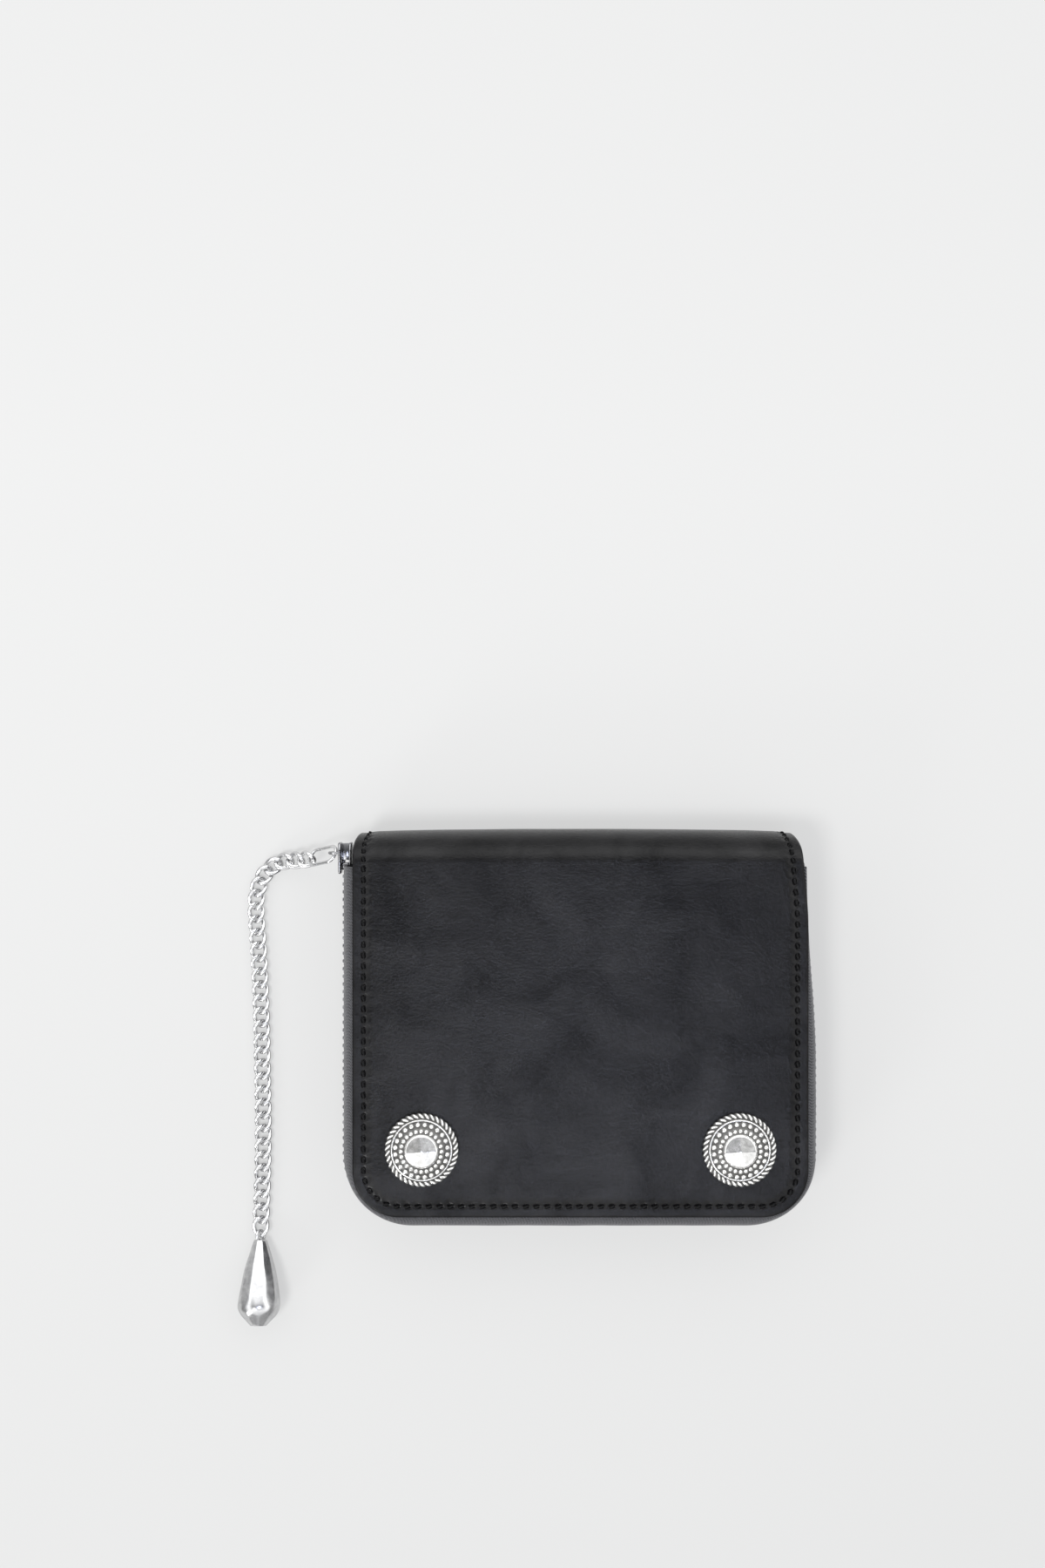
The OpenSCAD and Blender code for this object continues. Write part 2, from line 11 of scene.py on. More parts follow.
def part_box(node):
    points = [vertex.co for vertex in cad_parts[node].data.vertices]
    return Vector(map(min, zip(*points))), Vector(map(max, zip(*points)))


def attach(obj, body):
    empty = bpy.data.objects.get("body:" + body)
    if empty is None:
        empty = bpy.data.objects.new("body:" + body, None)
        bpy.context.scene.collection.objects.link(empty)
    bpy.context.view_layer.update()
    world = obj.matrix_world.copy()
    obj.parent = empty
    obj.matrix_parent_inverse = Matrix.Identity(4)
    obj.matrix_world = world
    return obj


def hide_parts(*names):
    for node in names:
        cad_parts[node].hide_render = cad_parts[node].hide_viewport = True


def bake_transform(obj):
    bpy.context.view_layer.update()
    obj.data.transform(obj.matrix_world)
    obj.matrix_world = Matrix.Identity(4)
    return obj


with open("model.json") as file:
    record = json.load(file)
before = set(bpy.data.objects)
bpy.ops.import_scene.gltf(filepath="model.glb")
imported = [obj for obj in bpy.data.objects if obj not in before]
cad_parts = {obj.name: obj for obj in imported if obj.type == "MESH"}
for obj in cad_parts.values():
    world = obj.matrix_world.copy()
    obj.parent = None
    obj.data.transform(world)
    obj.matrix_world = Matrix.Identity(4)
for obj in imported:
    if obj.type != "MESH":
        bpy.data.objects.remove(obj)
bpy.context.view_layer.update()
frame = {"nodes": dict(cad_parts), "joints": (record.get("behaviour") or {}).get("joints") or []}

# Everything below is worked out in millimetres and written to meshes in metres.
MM = 0.001


def box(node):
    """Lowest and highest corners of a CAD node, in millimetres."""
    low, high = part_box(node)
    return np.array(low) / MM, np.array(high) / MM


def joint_place(name):
    """The point on a joint's axis, in millimetres."""
    found = [j for j in frame["joints"] if j["name"] == name][0]
    return np.array(found["pos_m"]) / MM


# ---- Sizes, from the frame where a node gives them ----

front_low, front_high = box("front_leather")
half_w = front_high[0]
bottom_y = front_low[1]
wallet_t = front_high[2]
leather_t = front_high[2] - front_low[2]
mid_z = wallet_t / 2
top_y = box("spine_leather")[1][1]
spine_reach = 8.3
bend_y = top_y - spine_reach
corner_r = 12.0
flat_len = bend_y - bottom_y

seam_inset = 2.75
stitch_pitch = 2.75
stitch_len = 1.25
stitch_r = 0.27
spine_bow = 0.6
left_pull, right_pull = 1.1, 2.9

lining_low, lining_high = box("front_lining")
lining_t = lining_high[2] - lining_low[2]
lining_depth = wallet_t - lining_high[2]
lining_inset = 1.6
half_stack = lining_depth + lining_t

teeth_low, teeth_high = box("back_zip_teeth")
tooth_t = 1.6
zip_rise = 0.9
zip_hw = teeth_high[0] - tooth_t / 2
zip_y0 = teeth_low[1] + tooth_t / 2 + zip_rise
zip_corner_r = 18.0
zip_end_pull = 3.1
zip_y1 = 40.0
tooth_pitch = 2.0
tape_top_z = teeth_low[2]
tape_t = 0.55

# ---- Camera, straight above the table at the height that frames the wallet ----

camera_x, camera_y, camera_z = -14.8, 61.2, 544.0
camera_data = bpy.data.cameras.new("camera")
camera_data.lens = 46.8
camera_data.sensor_width = 36.0
camera = bpy.data.objects.new("camera", camera_data)
camera.location = (camera_x * MM, camera_y * MM, camera_z * MM)
bpy.context.scene.collection.objects.link(camera)
bpy.context.scene.camera = camera
bpy.context.scene.view_settings.view_transform = "Standard"

# ---- Mesh helpers ----


def unit(v):
    v = np.asarray(v, float)
    return v / np.linalg.norm(v)


def mesh_piece(name, part, material, smooth_angle=35.0):
    """A mesh object from (points in millimetres, faces), shaded smooth up to an angle in degrees."""
    points, faces = part
    mesh = bpy.data.meshes.new(name)
    faces = [tuple(int(i) for i in face) for face in faces]
    mesh.from_pydata((np.asarray(points, float) * MM).tolist(), [], faces)
    mesh.validate()
    bm = bmesh.new()
    bm.from_mesh(mesh)
    bmesh.ops.recalc_face_normals(bm, faces=bm.faces[:])
    bm.to_mesh(mesh)
    bm.free()
    mesh.shade_smooth()
    mesh.set_sharp_from_angle(angle=math.radians(smooth_angle))
    mesh.materials.append(material)
    piece = bpy.data.objects.new(name, mesh)
    bpy.context.scene.collection.objects.link(piece)
    return piece


def settle(body, slot, nodes, name, part, material, smooth_angle=35.0):
    """A mesh piece that rides on a body, with its material, hiding the CAD nodes it stands for. Its slot
    argument is not used.
    """
    piece = mesh_piece(name, part, material, smooth_angle)
    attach(piece, body)
    if nodes:
        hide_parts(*nodes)
    return piece


def join_parts(parts):
    """One (points, faces) from several."""
    points, faces, start = [], [], 0
    for part_points, part_faces in parts:
        points.append(np.asarray(part_points, float))
        faces += [tuple(i + start for i in face) for face in part_faces]
        start += len(part_points)
    return np.concatenate(points), faces


def moved(part, origin=(0, 0, 0), ax=(1, 0, 0), ay=(0, 1, 0), az=(0, 0, 1)):
    """A part set in a frame given by its origin and three axes."""
    return np.asarray(part[0], float) @ np.array([ax, ay, az], float) + np.asarray(origin, float), part[1]


def copies(part, frames):
    """Copies of one part, each in a frame (origin, x axis, y axis, z axis)."""
    return join_parts([moved(part, *spot) for spot in frames])


def bevel_box(size, bevel, segments=2, taper=1.0):
    """A box with rounded edges, centred at the origin. Its top may be narrower, by taper."""
    bm = bmesh.new()
    bmesh.ops.create_cube(bm, size=1.0)
    for v in bm.verts:
        narrow = taper if v.co.z > 0 else 1.0
        v.co = Vector((v.co.x * size[0] * narrow, v.co.y * size[1] * narrow, v.co.z * size[2]))
    bmesh.ops.bevel(bm, geom=bm.edges[:], offset=bevel, segments=segments, profile=0.5, affect="EDGES")
    bm.verts.ensure_lookup_table()
    points = np.array([v.co[:] for v in bm.verts])
    faces = [tuple(v.index for v in f.verts) for f in bm.faces]
    bm.free()
    return points, faces


def turns_of(count):
    """Angles at even steps round a full turn."""
    return [2 * math.pi * k / count for k in range(count)]


def ring_faces(rings, sides, closed):
    """Quads that join rings of points, each with the same number of sides."""
    faces = []
    for i in range(rings if closed else rings - 1):
        j = (i + 1) % rings
        for k in range(sides):
            m = (k + 1) % sides
            faces.append((i * sides + k, j * sides + k, j * sides + m, i * sides + m))
    return faces


def capped(rings, first_tip, last_tip):
    """A closed solid from rings of points, with one more point at each end."""
    rings = np.array(rings, float)
    rows, sides = rings.shape[:2]
    first, last, start = rows * sides, rows * sides + 1, (rows - 1) * sides
    faces = ring_faces(rows, sides, False)
    faces += [(first, k, (k + 1) % sides) for k in range(sides)]
    faces += [(last, start + (k + 1) % sides, start + k) for k in range(sides)]
    return np.concatenate([rings.reshape(-1, 3), [first_tip, last_tip]]), faces


def lathe(profile, sides):
    """A solid of revolution about Z from (radius, height) pairs that start and end on the axis."""
    rings = [[(r * math.cos(a), r * math.sin(a), z) for a in turns_of(sides)] for r, z in profile[1:-1]]
    return capped(rings, (0, 0, profile[0][1]), (0, 0, profile[-1][1]))


def ball(radius, rings=7, sides=12, squash=(1, 1, 1)):
    """A small sphere or ellipsoid."""
    steps = [math.pi * i / rings for i in range(rings + 1)]
    points, faces = lathe([(radius * math.sin(a), -radius * math.cos(a)) for a in steps], sides)
    return points * np.array(squash), faces


def tube(path, radius, sides=12, closed=False, up=(0, 0, 1), ups=None, section=None):
    """A tube along a path, with one radius or one for each point. section lists (up, out) shares of it."""
    path = np.asarray(path, float)
    count = len(path)
    radii = np.broadcast_to(np.asarray(radius, float), (count,))
    if section is None:
        section = [(math.cos(a), math.sin(a)) for a in turns_of(sides)]
    sides = len(section)
    points = []
    for i in range(count):
        before = path[i - 1] if closed or i else path[0]
        after = path[(i + 1) % count] if closed or i < count - 1 else path[-1]
        along = unit(after - before)
        lift = np.asarray(ups[i] if ups is not None else up, float)
        lift = unit(lift - (lift @ along) * along)
        out = np.cross(along, lift)
        points += [path[i] + radii[i] * (a * lift + b * out) for a, b in section]
    faces = ring_faces(count, sides, closed)
    if not closed:
        faces.append(tuple(range(sides)))
        faces.append(tuple((count - 1) * sides + k for k in reversed(range(sides))))
    return np.array(points), faces


def power_of(v, e):
    """A power that keeps its number's sign."""
    return math.copysign(abs(v) ** e, v)


def squircle(width, height, power, sides):
    """Section of a tube between an ellipse and a rectangle, as (up, out) pairs."""
    return [(height * power_of(math.cos(a), 2 / power), width * power_of(math.sin(a), 2 / power))
            for a in turns_of(sides)]


def solid_between(top, under, kept=None):
    """A closed solid between two grids of points (rows, columns, 3), in all cells or only in those kept."""
    rows, columns = top.shape[:2]
    size = rows * columns
    faces, edges = [], {}
    for i in range(rows - 1):
        for j in range(columns - 1):
            if kept is None or kept[i][j]:
                a = i * columns + j
                quad = (a, a + 1, a + columns + 1, a + columns)
                faces.append(quad)
                for u, v in zip(quad, quad[1:] + quad[:1]):
                    if edges.pop((v, u), None) is None:
                        edges[(u, v)] = True
    faces += [tuple(size + v for v in reversed(face)) for face in faces]
    faces += [(v, u, size + u, size + v) for u, v in edges]
    used = sorted({v for face in faces for v in face})
    place = {v: i for i, v in enumerate(used)}
    points = np.concatenate([top.reshape(-1, 3), under.reshape(-1, 3)])
    return points[used], [tuple(place[v] for v in face) for face in faces]


def smoothstep(v, low, high):
    t = np.clip((np.asarray(v, float) - low) / (high - low), 0, 1)
    return t * t * (3 - 2 * t)


def rumple(u, v, size, seed):
    """Smooth noise from about -1 to 1 over a sheet's own two coordinates, with features of that size."""
    spots = zip(np.ravel(u), np.ravel(v))
    return np.array([noise.noise(Vector((a / size, b / size, seed))) for a, b in spots])


# ---- Outlines that run down the left side, along the bottom and up the right side ----


def outline(hw, y0, r, y1, end_pull=0.0):
    """Lengths of an outline's five runs, and a function from (run, share) to (place, outward direction)."""
    side, arc, flat = y1 - y0 - r, math.pi / 2 * r, 2 * (hw - r)
    runs = [side, arc, flat, arc, side]

    def at(run, share):
        a = math.pi / 2 * share
        if run == 0:
            return (-hw, y1 - side * share), (-1, 0)
        if run == 1:
            return (-hw + r - r * math.cos(a), y0 + r - r * math.sin(a)), (-math.cos(a), -math.sin(a))
        if run == 2:
            return (-hw + r + flat * share, y0), (0, -1)
        if run == 3:
            return (hw - r + r * math.sin(a), y0 + r - r * math.cos(a)), (math.sin(a), -math.cos(a))
        height = y0 + r + side * share
        return (hw - end_pull * smoothstep(height, y1 - 52, y1 + 4), height), (1, 0)
    return runs, at


def run_spots(runs, step):
    """(run, share) pairs evenly along an outline, its corners included."""
    spots = []
    for run, length in enumerate(runs):
        count = max(1, int(round(length / step)))
        spots += [(run, k / count) for k in range(count)]
    return spots + [(len(runs) - 1, 1.0)]


def run_at(runs, s):
    """(run, share) at a distance along an outline."""
    for run, length in enumerate(runs):
        if s <= length or run == len(runs) - 1:
            return run, s / length
        s -= length


# ---- Cover sheet: one half, flat from the bottom edge and then up over half of the spine's curve ----

arc_turns = np.linspace(math.pi / 2, 0, 400)
arc_steps = np.hypot(np.diff(spine_reach * np.cos(arc_turns)), np.diff(mid_z * np.sin(arc_turns)))
arc_lengths = np.concatenate([[0], np.cumsum(arc_steps)])
half_len = flat_len + arc_lengths[-1]


def on_cover(x, t, n, front):
    """Places of points on a cover half: across x, t from the bottom edge, n out of the leather's face."""
    x, t, n = (np.asarray(v, float) for v in np.broadcast_arrays(x, t, n))
    turn = np.interp(t - flat_len, arc_lengths, arc_turns)
    normal_y, normal_z = np.cos(turn) / spine_reach, np.sin(turn) / mid_z
    size = np.hypot(normal_y, normal_z)
    y = bend_y + np.minimum(t - flat_len, 0) + spine_reach * np.cos(turn) + n * normal_y / size
    z = mid_z + mid_z * np.sin(turn) + n * normal_z / size
    bend = np.clip(np.cos(turn), 0, 1)
    y = y - spine_bow * (x / half_w) ** 2 * bend
    lean = 0.45 * smoothstep(t, flat_len - 16, flat_len + 4) + 0.55 * bend ** 3
    pull = np.where(x < 0, left_pull * bend ** 5, right_pull * lean)
    x = x * (1 - pull / half_w)
    return np.stack([x, y, z if front else wallet_t - z], -1)


def cover_sheet(inset, radius, rim, step, height, depth, front):
    """A closed sheet for one cover half. rim lists (distance in from the outline, height) on the outer face,
    from the middle of its edge inwards. height(x, t, d, phase) adds relief. depth is its thickness."""
    hw, t0 = half_w - inset, inset
    rows = int(round((half_len - t0 - radius) / step))
    columns = int(round(2 * (hw - radius) / step))
    turns = max(4, int(round(math.pi / 2 * radius / step)))
    grid_t = np.linspace(t0 + radius, half_len, rows + 1)
    grid_x = np.linspace(-hw + radius, hw - radius, columns + 1)
    # Each station: the point on the inner rectangle, the outward direction, and its grid corner
    stations = [(-hw + radius, t, -1, 0, i, 0) for i, t in reversed(list(enumerate(grid_t)))]
    stations += [(-hw + radius, t0 + radius, -math.cos(a), -math.sin(a), 0, 0)
                 for a in (math.pi / 2 * k / turns for k in range(1, turns))]
    stations += [(x, t0 + radius, 0, -1, 0, j) for j, x in enumerate(grid_x)]
    stations += [(hw - radius, t0 + radius, math.sin(a), -math.cos(a), 0, columns)
                 for a in (math.pi / 2 * k / turns for k in range(1, turns))]
    stations += [(hw - radius, t, 1, 0, i, columns) for i, t in enumerate(grid_t)]
    spots = np.array([s[:4] for s in stations])
    seam = spots[:, :2] + spots[:, 2:] * (radius - seam_inset + inset)
    phase = np.concatenate([[0], np.cumsum(np.linalg.norm(np.diff(seam, axis=0), axis=1))])
    count = len(stations)
    flat = []
    for d, n in rim:
        at = spots[:, :2] + spots[:, 2:] * (radius - d)
        flat.append(np.column_stack([at, np.full(count, d), phase, np.full(count, n)]))
    mesh_x, mesh_t = np.meshgrid(grid_x, grid_t)
    edge = np.minimum(hw - np.abs(mesh_x), mesh_t - t0)
    inner = np.column_stack([mesh_x.ravel(), mesh_t.ravel(), edge.ravel(), np.zeros(mesh_x.size),
                             np.full(mesh_x.size, rim[-1][1])])
    outer = np.concatenate(flat + [inner])
    relief = height(outer[:, 0], outer[:, 1], outer[:, 2], outer[:, 3])
    top = on_cover(outer[:, 0], outer[:, 1], outer[:, 4] + relief, front)
    under = on_cover(outer[:, 0], outer[:, 1], -depth - outer[:, 4], front)
    size = len(outer)
    points = np.concatenate([top, under])
    base = len(rim) * count

    def index(k, i):
        return k * count + i if k < len(rim) else base + stations[i][4] * (columns + 1) + stations[i][5]

    faces = []
    for k in range(len(rim)):
        for i in range(count - 1):
            a, b, c, d = index(k, i), index(k, i + 1), index(k + 1, i + 1), index(k + 1, i)
            faces.append((a, b, c) if c == d else (a, b, c, d))
    for i in range(rows):
        for j in range(columns):
            a = base + i * (columns + 1) + j
            faces.append((a, a + 1, a + columns + 2, a + columns + 1))
    faces += [tuple(size + v for v in reversed(face)) for face in faces]
    # The edge between the two faces, and the cut at the middle of the spine
    for i in range(count - 1):
        faces.append((i + 1, i, size + i, size + i + 1))
    cut = [index(k, 0) for k in range(len(rim) + 1)]
    cut += [base + rows * (columns + 1) + j for j in range(1, columns + 1)]
    cut += [index(k, count - 1) for k in reversed(range(len(rim)))]
    for a, b in zip(cut, cut[1:]):
        faces.append((a, b, size + b, size + a))
    return points, faces

# ---- Materials ----


def feed(tree, node, inputs):
    """Sets a node's inputs to values, or joins them to sockets."""
    for key, value in inputs.items():
        if isinstance(value, bpy.types.NodeSocket):
            tree.links.new(value, node.inputs[key])
        else:
            node.inputs[key].default_value = value


def shader(tree, kind, inputs=None, **settings):
    """A shader node with its settings and its inputs."""
    made = tree.nodes.new("ShaderNode" + kind)
    for key, value in settings.items():
        setattr(made, key, value)
    feed(tree, made, inputs or {})
    return made


def new_material(name):
    """A node material: (material, node tree, principled shader, object coordinates)."""
    material = bpy.data.materials.new(name)
    material.use_nodes = True
    tree = material.node_tree
    return material, tree, tree.nodes["Principled BSDF"], shader(tree, "TexCoord").outputs["Object"]


def noise_of(tree, coords, scale, detail=3.0, rough=0.55, twist=0.0):
    return shader(tree, "TexNoise", {"Vector": coords, "Scale": scale, "Detail": detail, "Roughness": rough,
                                     "Distortion": twist}).outputs["Fac"]


def stretched(tree, coords, scale, turn=(0, 0, 0)):
    """Coordinates turned and stretched, for grain that runs one way."""
    turned = shader(tree, "Mapping", {"Vector": coords, "Rotation": [math.radians(a) for a in turn]})
    return shader(tree, "Mapping", {"Vector": turned.outputs["Vector"], "Scale": scale}).outputs["Vector"]


def spread(tree, value, low, high, from_low=0.3, from_high=0.7):
    """A value spread from one range to another."""
    return shader(tree, "MapRange", {"Value": value, "From Min": from_low, "From Max": from_high,
                                     "To Min": low, "To Max": high}).outputs["Result"]


def blend_colors(tree, share, dark, light):
    mixed = shader(tree, "Mix", data_type="RGBA")
    tree.links.new(share, mixed.inputs[0])
    mixed.inputs[6].default_value = (*dark, 1)
    mixed.inputs[7].default_value = (*light, 1)
    return mixed.outputs[2]


def sum_of(tree, *values, weights=None):
    """Weighted sum of heights."""
    total = None
    for value, weight in zip(values, weights or [1.0] * len(values)):
        part = shader(tree, "Math", {0: value, 1: weight}, operation="MULTIPLY").outputs[0]
        if total is not None:
            part = shader(tree, "Math", {0: total, 1: part}, operation="ADD").outputs[0]
        total = part
    return total


def bump(tree, height, strength, distance_mm):
    made = shader(tree, "Bump", {"Height": height, "Strength": strength, "Distance": distance_mm * MM})
    return made.outputs["Normal"]


def leather(name, dark, light, rough, grain, gloss=(0.3, 0.5)):
    """Smooth finished leather: fine fibrous grain, streaks that run one way, mottled gloss and colour."""
    material, tree, principled, coords = new_material(name)
    wide = noise_of(tree, coords, 55, 5.0, 0.62, 0.6)
    fine = noise_of(tree, coords, 1900, 3.0, 0.6)
    fibres = noise_of(tree, stretched(tree, coords, (1100, 2400, 2400), (0, 0, 33)), 1.0, 3.0, 0.6)
    streaks = noise_of(tree, stretched(tree, coords, (110, 420, 420), (0, 0, 33)), 1.0, 4.0, 0.6, 0.6)
    feed(tree, principled, {
        "Base Color": blend_colors(tree, spread(tree, wide, 0, 1, 0.35, 0.65), dark, light),
        "Roughness": spread(tree, sum_of(tree, wide, streaks, weights=[0.8, 0.2]), *rough),
        "Specular IOR Level": spread(tree, sum_of(tree, wide, fine, weights=[0.72, 0.28]), *gloss),
        "Normal": bump(tree, sum_of(tree, fine, fibres, weights=[0.8, 0.35]), grain, 0.2)})
    return material


def cloth(name, dark, light, pitch_mm, strength):
    """Close diagonal weave, in two crossing sets of ribs."""
    material, tree, principled, coords = new_material(name)
    scale = 1 / (pitch_mm * MM)
    ribs = [shader(tree, "TexWave", {"Vector": stretched(tree, coords, (scale, scale, lean * scale)),
                                     "Scale": 0.314, "Distortion": 1.2, "Detail": 1.0},
                   bands_direction="DIAGONAL").outputs["Fac"] for lean in (1, -1)]
    fuzz = noise_of(tree, coords, 3200, 3.0, 0.7)
    weave = sum_of(tree, *ribs, fuzz, weights=[0.35, 0.25, 0.8])
    feed(tree, principled, {
        "Base Color": blend_colors(tree, spread(tree, weave, 0, 1, 0.5, 0.9), dark, light),
        "Normal": bump(tree, weave, strength, 0.15),
        "Roughness": 0.8, "Sheen Weight": 0.25, "Sheen Roughness": 0.5})
    return material


def thread(name, color):
    """Waxed twisted thread."""
    material, tree, principled, coords = new_material(name)
    twist = shader(tree, "TexWave", {"Vector": stretched(tree, coords, (1, 1, 1)), "Scale": 700.0,
                                     "Distortion": 2.0}, bands_direction="DIAGONAL").outputs["Fac"]
    fuzz = noise_of(tree, coords, 3000, 2.0)
    feed(tree, principled, {
        "Base Color": blend_colors(tree, fuzz, [c * 0.6 for c in color], [c * 1.5 for c in color]),
        "Normal": bump(tree, sum_of(tree, twist, fuzz, weights=[0.7, 0.3]), 0.6, 0.06),
        "Roughness": 0.6, "Specular IOR Level": 0.15})
    return material


def metal(name, dark, light, rough, scratches=0.12, patches=260):
    """Polished or cast metal with handling marks: faint scratches, soft patches of gloss."""
    material, tree, principled, coords = new_material(name)
    patch = noise_of(tree, coords, patches, 4.0, 0.6, 0.4)
    marks = noise_of(tree, stretched(tree, coords, (5200, 420, 2600), (20, 0, 52)), 1.0, 2.0, 0.5)
    feed(tree, principled, {
        "Base Color": blend_colors(tree, spread(tree, patch, 0, 1), dark, light),
        "Roughness": spread(tree, sum_of(tree, patch, marks, weights=[0.6, 0.4]), *rough),
        "Normal": bump(tree, sum_of(tree, patch, marks, weights=[0.5, 0.5]), scratches, 0.04),
        "Metallic": 1.0})
    return material


def oxidised_metal(name, low_mm, high_mm):
    """Blackened cast silver: darkest low down, with a faint worn gleam higher up."""
    material, tree, principled, coords = new_material(name)
    height = shader(tree, "SeparateXYZ", {0: coords}).outputs["Z"]
    patch = noise_of(tree, coords, 1400, 4.0, 0.65)
    worn = spread(tree, sum_of(tree, height, patch, weights=[1.0, 0.0012]), 0, 1, low_mm * MM, high_mm * MM)
    feed(tree, principled, {
        "Base Color": blend_colors(tree, worn, (0.012, 0.012, 0.012), (0.30, 0.296, 0.285)),
        "Normal": bump(tree, patch, 0.5, 0.06), "Roughness": 0.55, "Metallic": 0.8})
    return material


def board_material():
    material, tree, principled, coords = new_material("fibre_board")
    fibre = noise_of(tree, coords, 900, 5.0, 0.7, 0.8)
    feed(tree, principled, {"Base Color": blend_colors(tree, fibre, (0.045, 0.04, 0.036), (0.1, 0.09, 0.08)),
                            "Normal": bump(tree, fibre, 0.4, 0.1), "Roughness": 0.85})
    return material


def floor_material():
    """White table that glows with painted light: its emission, a little brighter towards the back, keeps the
    shadows on it pale.
    """
    material, tree, principled, coords = new_material("table_painted_glow")
    cloud = noise_of(tree, coords, 6, 2.0)
    depth = shader(tree, "SeparateXYZ", {0: coords}).outputs["Y"]
    # In reflections the painted glow fades away from the middle
    away = shader(tree, "VectorMath", {0: coords}, operation="LENGTH").outputs["Value"]
    reflected = shader(tree, "Math", {0: spread(tree, depth, 0.38, 0.485, -0.15, 0.15),
                                      1: spread(tree, away, 1.0, 0.1, 0.15, 0.45)}, operation="MULTIPLY")
    seen = shader(tree, "LightPath").outputs["Is Camera Ray"]
    glow = shader(tree, "Mix", {0: seen, 2: reflected.outputs[0],
                                3: spread(tree, depth, 0.47, 0.555, -0.15, 0.15)})
    feed(tree, principled, {
        "Base Color": blend_colors(tree, cloud, (0.148, 0.148, 0.146), (0.152, 0.152, 0.15)),
        # Painted light: the slightly bluish glow stands in for fill light on the table and lifts its shadows
        "Emission Strength": glow.outputs[0], "Emission Color": (0.995, 0.998, 1.0, 1),
        "Roughness": 0.9, "Specular IOR Level": 0.0})
    return material


cover_black = leather("cover_black", (0.0022, 0.0021, 0.0025), (0.0050, 0.0048, 0.0055), (0.165, 0.25), 0.75,
                      (0.14, 0.36))
lining_black = leather("lining_black", (0.007, 0.007, 0.0075), (0.012, 0.012, 0.013), (0.42, 0.58), 0.5)
pocket_black = leather("pocket_black", (0.006, 0.006, 0.007), (0.011, 0.011, 0.012), (0.36, 0.5), 0.4)
tape_cloth = cloth("tape_cloth", (0.008, 0.008, 0.010), (0.088, 0.088, 0.095), 0.38, 0.9)
gusset_cloth = cloth("gusset_cloth", (0.008, 0.008, 0.009), (0.022, 0.022, 0.024), 0.4, 0.35)
black_thread = thread("black_thread", (0.005, 0.005, 0.0055))
zip_metal = metal("zip_metal", (0.12, 0.12, 0.13), (0.34, 0.34, 0.35), (0.16, 0.36))
slider_metal = metal("slider_metal", (0.22, 0.22, 0.23), (0.42, 0.42, 0.43), (0.14, 0.3))
steel = metal("steel", (0.42, 0.42, 0.43), (0.6, 0.6, 0.61), (0.2, 0.38))
polished_silver = metal("polished_silver", (0.64, 0.64, 0.65), (0.8, 0.8, 0.8), (0.06, 0.16), 0.05)
drop_silver = metal("drop_silver", (0.52, 0.52, 0.53), (0.74, 0.74, 0.74), (0.14, 0.28), 0.22, 420)
worn_silver = metal("worn_silver", (0.62, 0.615, 0.60), (0.88, 0.875, 0.86), (0.16, 0.30), 0.16, 700)
dark_silver = oxidised_metal("dark_silver", wallet_t + 0.6, wallet_t + 4.2)
board_brown = board_material()

# ---- Cover leather ----

# Rounded edge of the leather, then the margin, the seam's groove and the field, from the outline inwards
cover_rim = [(0, -0.5), (0.03, -0.34), (0.12, -0.18), (0.27, -0.07), (0.48, -0.01), (0.7, 0)]
cover_rim += [(d, 0) for d in (1.0, 1.35, 1.7, 1.95, 2.15, 2.3, 2.45, 2.6, 2.75, 2.9, 3.05, 3.2, 3.35, 3.5,
                               3.7, 3.95, 4.25, 4.6, 5.1, 5.8, 6.7, 8.0, 9.3, 10.6)]
groove_depth = 0.42
cover_step = stitch_pitch / 7
seam_slant = 0.45


def side_of(front):
    return "front" if front else "back"


def cover_relief(seed, level):
    """Height of the outer face: groove of the seam, puckers beside it and slow waves over the field."""
    def height(x, t, d, phase):
        slanted = np.cos(2 * math.pi * (phase + seam_slant * (d - seam_inset)) / stitch_pitch)
        between = (0.5 + 0.5 * slanted) ** 1.5
        groove = -groove_depth * np.exp(-((d - seam_inset) / 0.4) ** 2) * (1 - 0.75 * between)
        uneven = np.clip(1 + 1.5 * rumple(x, t, 6, seed + 3), 0.2, 2.4)
        pucker = 0.12 * slanted * uneven * np.exp(-((d - 3.55) / 0.75) ** 2)
        roll = -0.34 * (1 - smoothstep(d, 2.7, 4.9)) - 0.10 * (1 - smoothstep(d, 4, 12))
        margin = 0.03 * rumple(x, t, 4, seed + 17) * smoothstep(d, 0.3, 1.2) * (1 - smoothstep(d, 2, 2.8))
        field = smoothstep(d, 3, 14) * (0.10 * rumple(x, t, 34, seed) + 0.035 * rumple(x, t, 11, seed + 7))
        ridge = 0.05 * rumple(x, t, 4, seed + 11) * smoothstep(d, 2.8, 3.6) * (1 - smoothstep(d, 6, 11))
        return level * (field + ridge + margin) + groove + roll + pucker
    return height


def over_spine(front, nodes, name, part, material):
    """A mesh piece over the spine, for the front or else the back, with its transform baked in; it hides the
    CAD nodes it stands for.
    """
    piece = mesh_piece(name, part, material)
    if front:
        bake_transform(piece)
    else:
        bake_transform(piece)
    if nodes:
        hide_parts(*nodes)


for front, seed, field, nodes in ((True, 2.0, 1.0, ["front_leather", "spine_leather"]),
                                  (False, 40.0, 0.0, ["back_leather"])):
    sheet = cover_sheet(0, corner_r, cover_rim, cover_step, cover_relief(seed, field), leather_t, front)
    over_spine(front, nodes, side_of(front) + "_cover_leather", sheet, cover_black)

# ---- Lining: a thinner sheet inside the cover, with the boards between ----

lining_rim = [(0, -0.22), (0.08, -0.08), (0.25, 0), (0.8, 0), (1.5, 0), (2.4, 0), (4, 0), (6, 0), (8, 0)]
lining_step = 2.0


def board_face(x, t, d, phase):
    """Height of the lining's outer face, which lies on the board."""
    return np.full(np.shape(x), -lining_depth)


